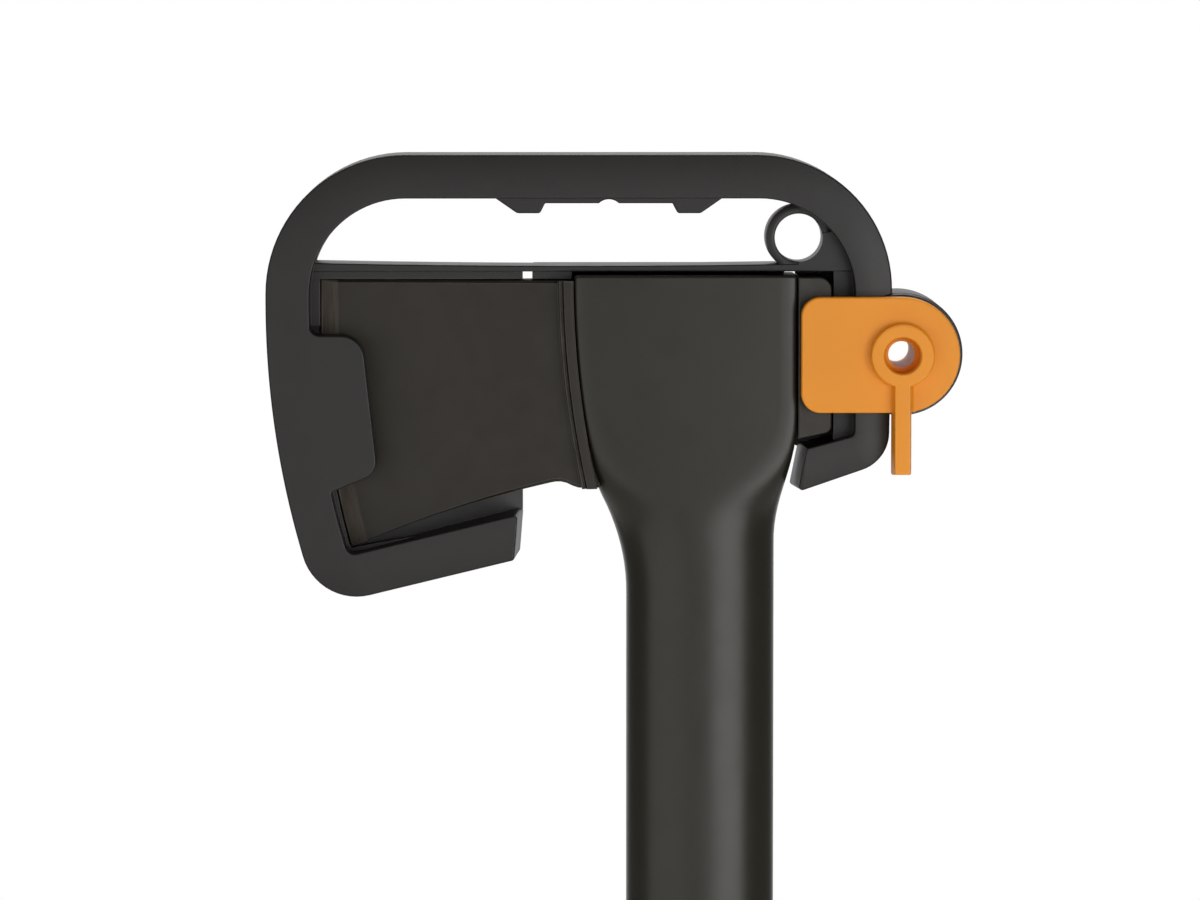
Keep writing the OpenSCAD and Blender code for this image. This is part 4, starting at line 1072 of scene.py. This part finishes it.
def lozenge_tree(material):
    """Geometry nodes that set a low domed lozenge on each point, turned to face out of the grip."""
    tree = bpy.data.node_groups.new("Grip lozenges", "GeometryNodeTree")
    tree.interface.new_socket("Geometry", in_out="INPUT", socket_type="NodeSocketGeometry")
    for label in ("Length", "Width", "Rise"):
        tree.interface.new_socket(label, in_out="INPUT", socket_type="NodeSocketFloat")
    tree.interface.new_socket("Geometry", in_out="OUTPUT", socket_type="NodeSocketGeometry")
    given = add(tree, "NodeGroupInput")
    dome = add(tree, "GeometryNodeMeshUVSphere", {"Segments": 12, "Rings": 6, "Radius": 1.0})
    facing = add(tree, "GeometryNodeInputNamedAttribute", {"Name": "facing"}, data_type="FLOAT_VECTOR")
    out = add(tree, "FunctionNodeAlignRotationToVector", {"Vector": facing}, axis="Z")
    level = add(tree, "FunctionNodeAlignRotationToVector", {"Rotation": out,
                                                           "Vector": (0, 0, 1)}, axis="Y", pivot_axis="Z")
    halves = [reckon(tree, "MULTIPLY", given.outputs[label], factor)
              for label, factor in (("Length", 0.5), ("Width", 0.5), ("Rise", 1.0))]
    extent = add(tree, "ShaderNodeCombineXYZ", zip("XYZ", halves))
    set_out = add(tree, "GeometryNodeInstanceOnPoints", {"Points": given.outputs["Geometry"],
                                                         "Instance": dome, "Rotation": level,
                                                         "Scale": extent})
    real = add(tree, "GeometryNodeRealizeInstances", {"Geometry": set_out})
    finish = add(tree, "GeometryNodeSetMaterial", {"Geometry": real, "Material": material})
    add(tree, "NodeGroupOutput", {"Geometry": finish})
    return tree


class HATCHET_OT_grip(bpy.types.Operator):
    """Moulds the soft grip and its raised lozenges over the handle"""
    bl_idname = "hatchet.grip"
    bl_label = "Soft grip"

    def execute(self, context):
        s = context.scene.hatchet_grip
        top, bottom = GRIP_TOP - 0.1, GRIP_BOTTOM + 0.1
        outer = [(top, 0.6), (top - 0.15, 0.2), (top - 0.5, 0)]
        outer += levels_between(top - 2, bottom + 2, 2.5)
        outer += [(bottom + 0.5, 0), (bottom + 0.15, 0.2), (bottom, 0.6)]
        inner = levels_between(bottom, top, 4, GRIP_T)
        sleeve = skin("sleeve", [handle_ring(z, d) for z, d in outer + inner], closed=True)
        # Dull and even: rubber scatters the light and doesn't rub pale
        rubber = moulded("soft_touch_rubber", s.colour, s.colour,
                         rough=0.68, grain=0.35, depth=0.05, ior=1.5)
        points = stand("lozenges", lozenge_lattice(s))
        tree = lozenge_tree(rubber)
        pattern = points.modifiers.new("Grip lozenges", "NODES")
        pattern.node_group = tree
        for item in tree.interface.items_tree:
            if item.in_out == "INPUT" and item.name in ("Length", "Width", "Rise"):
                pattern[item.identifier] = getattr(s, item.name.lower())
        settle(points)
        dress(sleeve, "soft_grip", rubber, AXE, "grip_rubber", "grip_sleeve")
        dress(points, "grip_lozenges", rubber, AXE, "grip_rubber", sharp=60)
        return {"FINISHED"}


class HATCHET_OT_end_cap(bpy.types.Operator):
    """Moulds the orange end cap and its spigot"""
    bl_idname = "hatchet.end_cap"
    bl_label = "End cap"

    def execute(self, context):
        s = context.scene.hatchet_lock
        groove = context.scene.hatchet_handle.groove / MM
        spigot = WALL + SPIGOT_GAP
        spigot_top = CAP_HIGH.z
        levels = [(spigot_top, spigot + 1.4), (spigot_top - 1.2, spigot + 0.4)]
        levels += levels_between(spigot_top - 2.5, CAP_TOP, 4, spigot)
        levels += [(CAP_TOP - HAIR, groove), (CAP_TOP - 0.5, 0.1)]
        levels += levels_between(CAP_TOP - 1, POMMEL_Z + POMMEL_ROUND_H, 2)
        levels += [(POMMEL_Z + POMMEL_ROUND_H * u, POMMEL_ROUND_W * v) for u, v in quarter(8)[1:]]
        cap = loft("cap", levels)
        # The lock's orange, even and satin
        nylon = moulded("orange_nylon_cap", s.colour, s.worn_and_highlit,
                        rough=0.42, grain=0.5, depth=0.03, ior=1.36)
        dress(cap, "orange_end_cap", nylon, AXE, "orange_plastic", "end_cap", sharp=40)
        return {"FINISHED"}


# ---- Lock ----

def lever_outline():
    """The lever, hanging from the raised ring."""
    w = LEVER_W / 2 + LEVER_DRAFT
    root = PIVOT.y - (EYE_R + PIVOT_R) / 2
    return rectangle(PIVOT.x - w, PIVOT.x + w, root, PIVOT.y - LEVER_LEN, LEVER_W / 8)


class HATCHET_OT_lock(bpy.types.Operator):
    """Moulds the quarter-turn lock and the keeper ring behind it"""
    bl_idname = "hatchet.lock"
    bl_label = "Lock"

    def execute(self, context):
        s = context.scene.hatchet_lock
        soft, fillet = s.edge_round / MM, s.fillet / MM
        # The flag's right end is round, less a hair so that its two quarters don't meet
        left, right, r = PIVOT.x - FLAG_REACH, PIVOT.x + FLAG_R, FLAG_R - HAIR / 2
        high, low = PIVOT.y + FLAG_R, PIVOT.y - FLAG_R
        flag = moulding("flag", round_corners(
            (left, high, FLAG_CORNER_R), (left, low, FLAG_CORNER_R), (right, low, r), (right, high, r)),
            soft_rings(FLAG_FRONT, FLAG_BACK, soft, 0.3))
        top = LEVER_LOW.y
        foot = [(BOSS_R + fillet * u, FLAG_FRONT - fillet * v) for u, v in quarter(5)]
        head = [(BOSS_R - soft * v, top + soft * u) for u, v in quarter()]
        boss = turned("boss", PIVOT, [(BOSS_R + fillet, FLAG_FRONT + 1)] + foot + head)
        tube = turned("tube", PIVOT, [(PIVOT_R, FLAG_FRONT + 1), (PIVOT_R, KEEPER_BACK - 0.4),
                                      (PIVOT_R - 0.4, KEEPER_BACK)])
        # The lever's ridge is filleted on to the flag, and its bare blade hangs below
        front = [(0.95, top + 0.1), (0.7, top + 0.2), (0.55, top + 0.5)]
        foot = [(-fillet * u, FLAG_FRONT - fillet * v) for u, v in quarter()[::-1]]
        ridge = moulding("ridge", lever_outline(), front + foot + [(-fillet, FLAG_FRONT + 1)])
        keep = moulding("keep", round_corners(
            (left, high), (left, low + 0.3), (right, low + 0.3), (right, high), eased=1),
            [(0, top - 1), (0, FLAG_BACK)])
        combine(ridge, "INTERSECT", [keep])
        blade = moulding("lever", lever_outline(), front + [(0, FLAG_BACK - 0.4), (0.4, FLAG_BACK)])
        lock = combine(flag, "UNION", [boss, tube, ridge, blade])
        eye = turned("eye", PIVOT, [
            (EYE_R + 0.9, top - 0.3), (EYE_R + 0.35, top + 0.15), (EYE_R, top + 0.7),
            (EYE_R, FLAG_BACK - 0.5), (EYE_R - 0.5, FLAG_BACK), (BORE_R, FLAG_BACK),
            (BORE_R, KEEPER_BACK - 0.3), (BORE_R + 0.6, KEEPER_BACK + 0.3)])
        combine(lock, "DIFFERENCE", [eye])
        # Clear bright orange right through, so its rubbed edges are only a little paler; the paler edges are
        # also a painted highlight along the rounded outline
        orange = moulded("orange_acetal", s.colour, s.worn_and_highlit,
                         rough=0.42, grain=0.5, depth=0.03, ior=1.36)
        dress(lock, "quarter_turn_lock", orange, LOCK, "orange_plastic", "lock_lever")
        keeper = turned("keeper", PIVOT, [
            (PIVOT_R + HAIR, KEEPER_FRONT), (KEEPER_R - 0.4, KEEPER_FRONT), (KEEPER_R, KEEPER_FRONT + 0.4),
            (KEEPER_R, KEEPER_BACK - 0.6), (KEEPER_R - 0.2, KEEPER_BACK - 0.15),
            (KEEPER_R - 0.7, KEEPER_BACK), (PIVOT_R + 0.3, KEEPER_BACK),
            (PIVOT_R + HAIR, KEEPER_BACK - 0.3)], closed=True)
        dress(keeper, "keeper_ring", orange, LOCK, "orange_plastic", "lock_keeper")
        return {"FINISHED"}


# ---- Stage ----

AIM = Vector((-2.25, FRONT, -62.75)) * MM
CAMERA_X, CAMERA_Z = -0.020, 0.057
# Each lamp's azimuth and elevation from what it is aimed at, and its width and height in metres
LAMPS = {"key": (27, -5, 1.0, 1.1), "fill": (-32, -5, 1.7, 1.1), "sky": (180, 62, 1.6, 1.0)}
LAMP_REACH = 1.6


def aim_at(thing, place, aim):
    """Puts a lamp or a camera at a place and turns it towards aim."""
    thing.location = place
    thing.rotation_euler = (aim - place).to_track_quat("-Z", "Y").to_euler()


def lamp(name, place, aim, width, height, power):
    """A soft rectangular lamp that shines towards aim."""
    data = bpy.data.lights.new(name, "AREA")
    data.shape = "RECTANGLE"
    data.size, data.size_y = width, height
    data.energy = power
    aim_at(stand(name, data), place, aim)


def around(centre, azimuth, elevation, distance):
    """A place round the object: azimuth runs from the front towards the right, in degrees."""
    a, e = math.radians(azimuth), math.radians(elevation)
    return centre + distance * Vector((math.sin(a) * math.cos(e), -math.cos(a) * math.cos(e), math.sin(e)))


def room(level):
    """A room that is white to the eye and straight behind the object, and lights it evenly."""
    world = bpy.data.worlds.new("Studio room")
    world.use_nodes = True
    tree = world.node_tree
    tree.nodes.clear()
    path = add(tree, "ShaderNodeLightPath")
    way = add(tree, "ShaderNodeTexCoord").outputs["Generated"]
    wall = add(tree, "ShaderNodeSeparateXYZ", {"Vector": way})
    # The wall behind the object is white in reflections, and fades into the even room at its rim
    behind = ramp(tree, wall.outputs["Y"], 0.7, 0.97)
    mirrored = reckon(tree, "MULTIPLY", behind, path.outputs["Is Glossy Ray"])
    seen = reckon(tree, "MAXIMUM", path.outputs["Is Camera Ray"], path.outputs["Is Transmission Ray"])
    white = reckon(tree, "MAXIMUM", seen, mirrored)
    strength = blend(tree, white, level, 1, "FLOAT")
    back = add(tree, "ShaderNodeBackground", {"Color": (1, 1, 1, 1), "Strength": strength})
    add(tree, "ShaderNodeOutputWorld", {"Surface": back})
    return world


def floor_paper(colour, radius):
    """Matt white studio paper: it takes the object's shadow, and fades to white far away."""
    material, tree, place = start_material("matt_studio_paper")
    # The paper's fibres are about 3 mm long
    tone = ramp(tree, noise(tree, place, 3, 4), 0, 1, 0.985, 1.015)
    paper = add(tree, "ShaderNodeBsdfPrincipled", {"Base Color": scaled(tree, colour, tone),
                                                   "Roughness": 0.9})
    reach = reckon_vectors(tree, "LENGTH", reckon_vectors(tree, "MULTIPLY", place, (1, 1, 0)))
    far = ramp(tree, reach, 0.3 * radius, 0.95 * radius, interpolation_type="SMOOTHSTEP")
    path = add(tree, "ShaderNodeLightPath")
    fade = reckon(tree, "MULTIPLY", far, path.outputs["Is Camera Ray"])
    glow = add(tree, "ShaderNodeEmission", {"Color": (1, 1, 1, 1), "Strength": 1.0})
    lit = add(tree, "ShaderNodeMixShader", {0: fade, 1: paper, 2: glow})
    add(tree, "ShaderNodeOutputMaterial", {"Surface": lit})
    return material


class HATCHET_OT_stage(bpy.types.Operator):
    """Lays the floor and sets the room, the lamps and the camera"""
    bl_idname = "hatchet.stage"
    bl_label = "Stage"

    def execute(self, context):
        s = context.scene.hatchet_stage
        z = POMMEL_Z * MM - s.floor_drop
        sheet = bpy.data.meshes.new("studio_floor")
        bm = bmesh.new()
        bmesh.ops.create_circle(bm, cap_ends=True, segments=96, radius=s.floor_radius,
                                matrix=Matrix.Translation((0, 0, z)))
        bm.to_mesh(sheet)
        bm.free()
        floor = stand("studio_floor", sheet)
        sheet.materials.append(floor_paper(s.floor_colour, s.floor_radius))
        context.scene.world = room(s.room)
        for name, (azimuth, elevation, width, height) in LAMPS.items():
            lamp(name, around(AIM, azimuth, elevation, LAMP_REACH), AIM, width, height, getattr(s, name))
        data = bpy.data.cameras.new("camera")
        data.sensor_width = 36.0
        data.lens = data.sensor_width * s.distance / s.view_width
        data.clip_start, data.clip_end = 0.05, 20.0
        camera = stand("camera", data)
        aim_at(camera, Vector((CAMERA_X, -s.distance, CAMERA_Z)), AIM)
        context.scene.camera = camera
        context.scene.view_settings.view_transform = "Standard"
        return {"FINISHED"}


# ---- Panel and registration ----

class HATCHET_PT_panel(bpy.types.Panel):
    """Builds the hatchet, piece by piece"""
    bl_idname = "HATCHET_PT_panel"
    bl_label = "Hatchet"
    bl_space_type = "VIEW_3D"
    bl_region_type = "UI"
    bl_category = "Hatchet"

    def draw(self, context):
        for operator, group in STEPS:
            box = self.layout.box()
            box.operator(operator.bl_idname)
            settings = getattr(context.scene, group)
            for name in settings.bl_rna.properties.keys():
                if name not in ("rna_type", "name"):
                    box.prop(settings, name)


STEPS = [(HATCHET_OT_stage, "hatchet_stage"), (HATCHET_OT_carrier, "hatchet_carrier"),
         (HATCHET_OT_head, "hatchet_head"), (HATCHET_OT_handle, "hatchet_handle"),
         (HATCHET_OT_grip, "hatchet_grip"), (HATCHET_OT_end_cap, "hatchet_lock"),
         (HATCHET_OT_lock, "hatchet_lock")]
SETTINGS = {"hatchet_carrier": CarrierSettings, "hatchet_head": HeadSettings,
            "hatchet_handle": HandleSettings, "hatchet_grip": GripSettings,
            "hatchet_lock": LockSettings, "hatchet_stage": StageSettings}


def register():
    """Adds the settings to every scene, then the operators and the panel."""
    for name, group in SETTINGS.items():
        bpy.utils.register_class(group)
        setattr(bpy.types.Scene, name, PointerProperty(type=group))
    for operator, _ in STEPS:
        bpy.utils.register_class(operator)
    bpy.utils.register_class(HATCHET_PT_panel)


def unregister():
    """Takes away what register added, in the opposite order."""
    bpy.utils.unregister_class(HATCHET_PT_panel)
    for operator, _ in reversed(STEPS):
        bpy.utils.unregister_class(operator)
    for name, group in SETTINGS.items():
        delattr(bpy.types.Scene, name)
        bpy.utils.unregister_class(group)


def main():
    """Builds every piece in order."""
    register()
    bpy.ops.hatchet.stage()
    bpy.ops.hatchet.carrier()
    bpy.ops.hatchet.head()
    bpy.ops.hatchet.handle()
    bpy.ops.hatchet.grip()
    bpy.ops.hatchet.end_cap()
    bpy.ops.hatchet.lock()


if __name__ == "__main__":
    main()
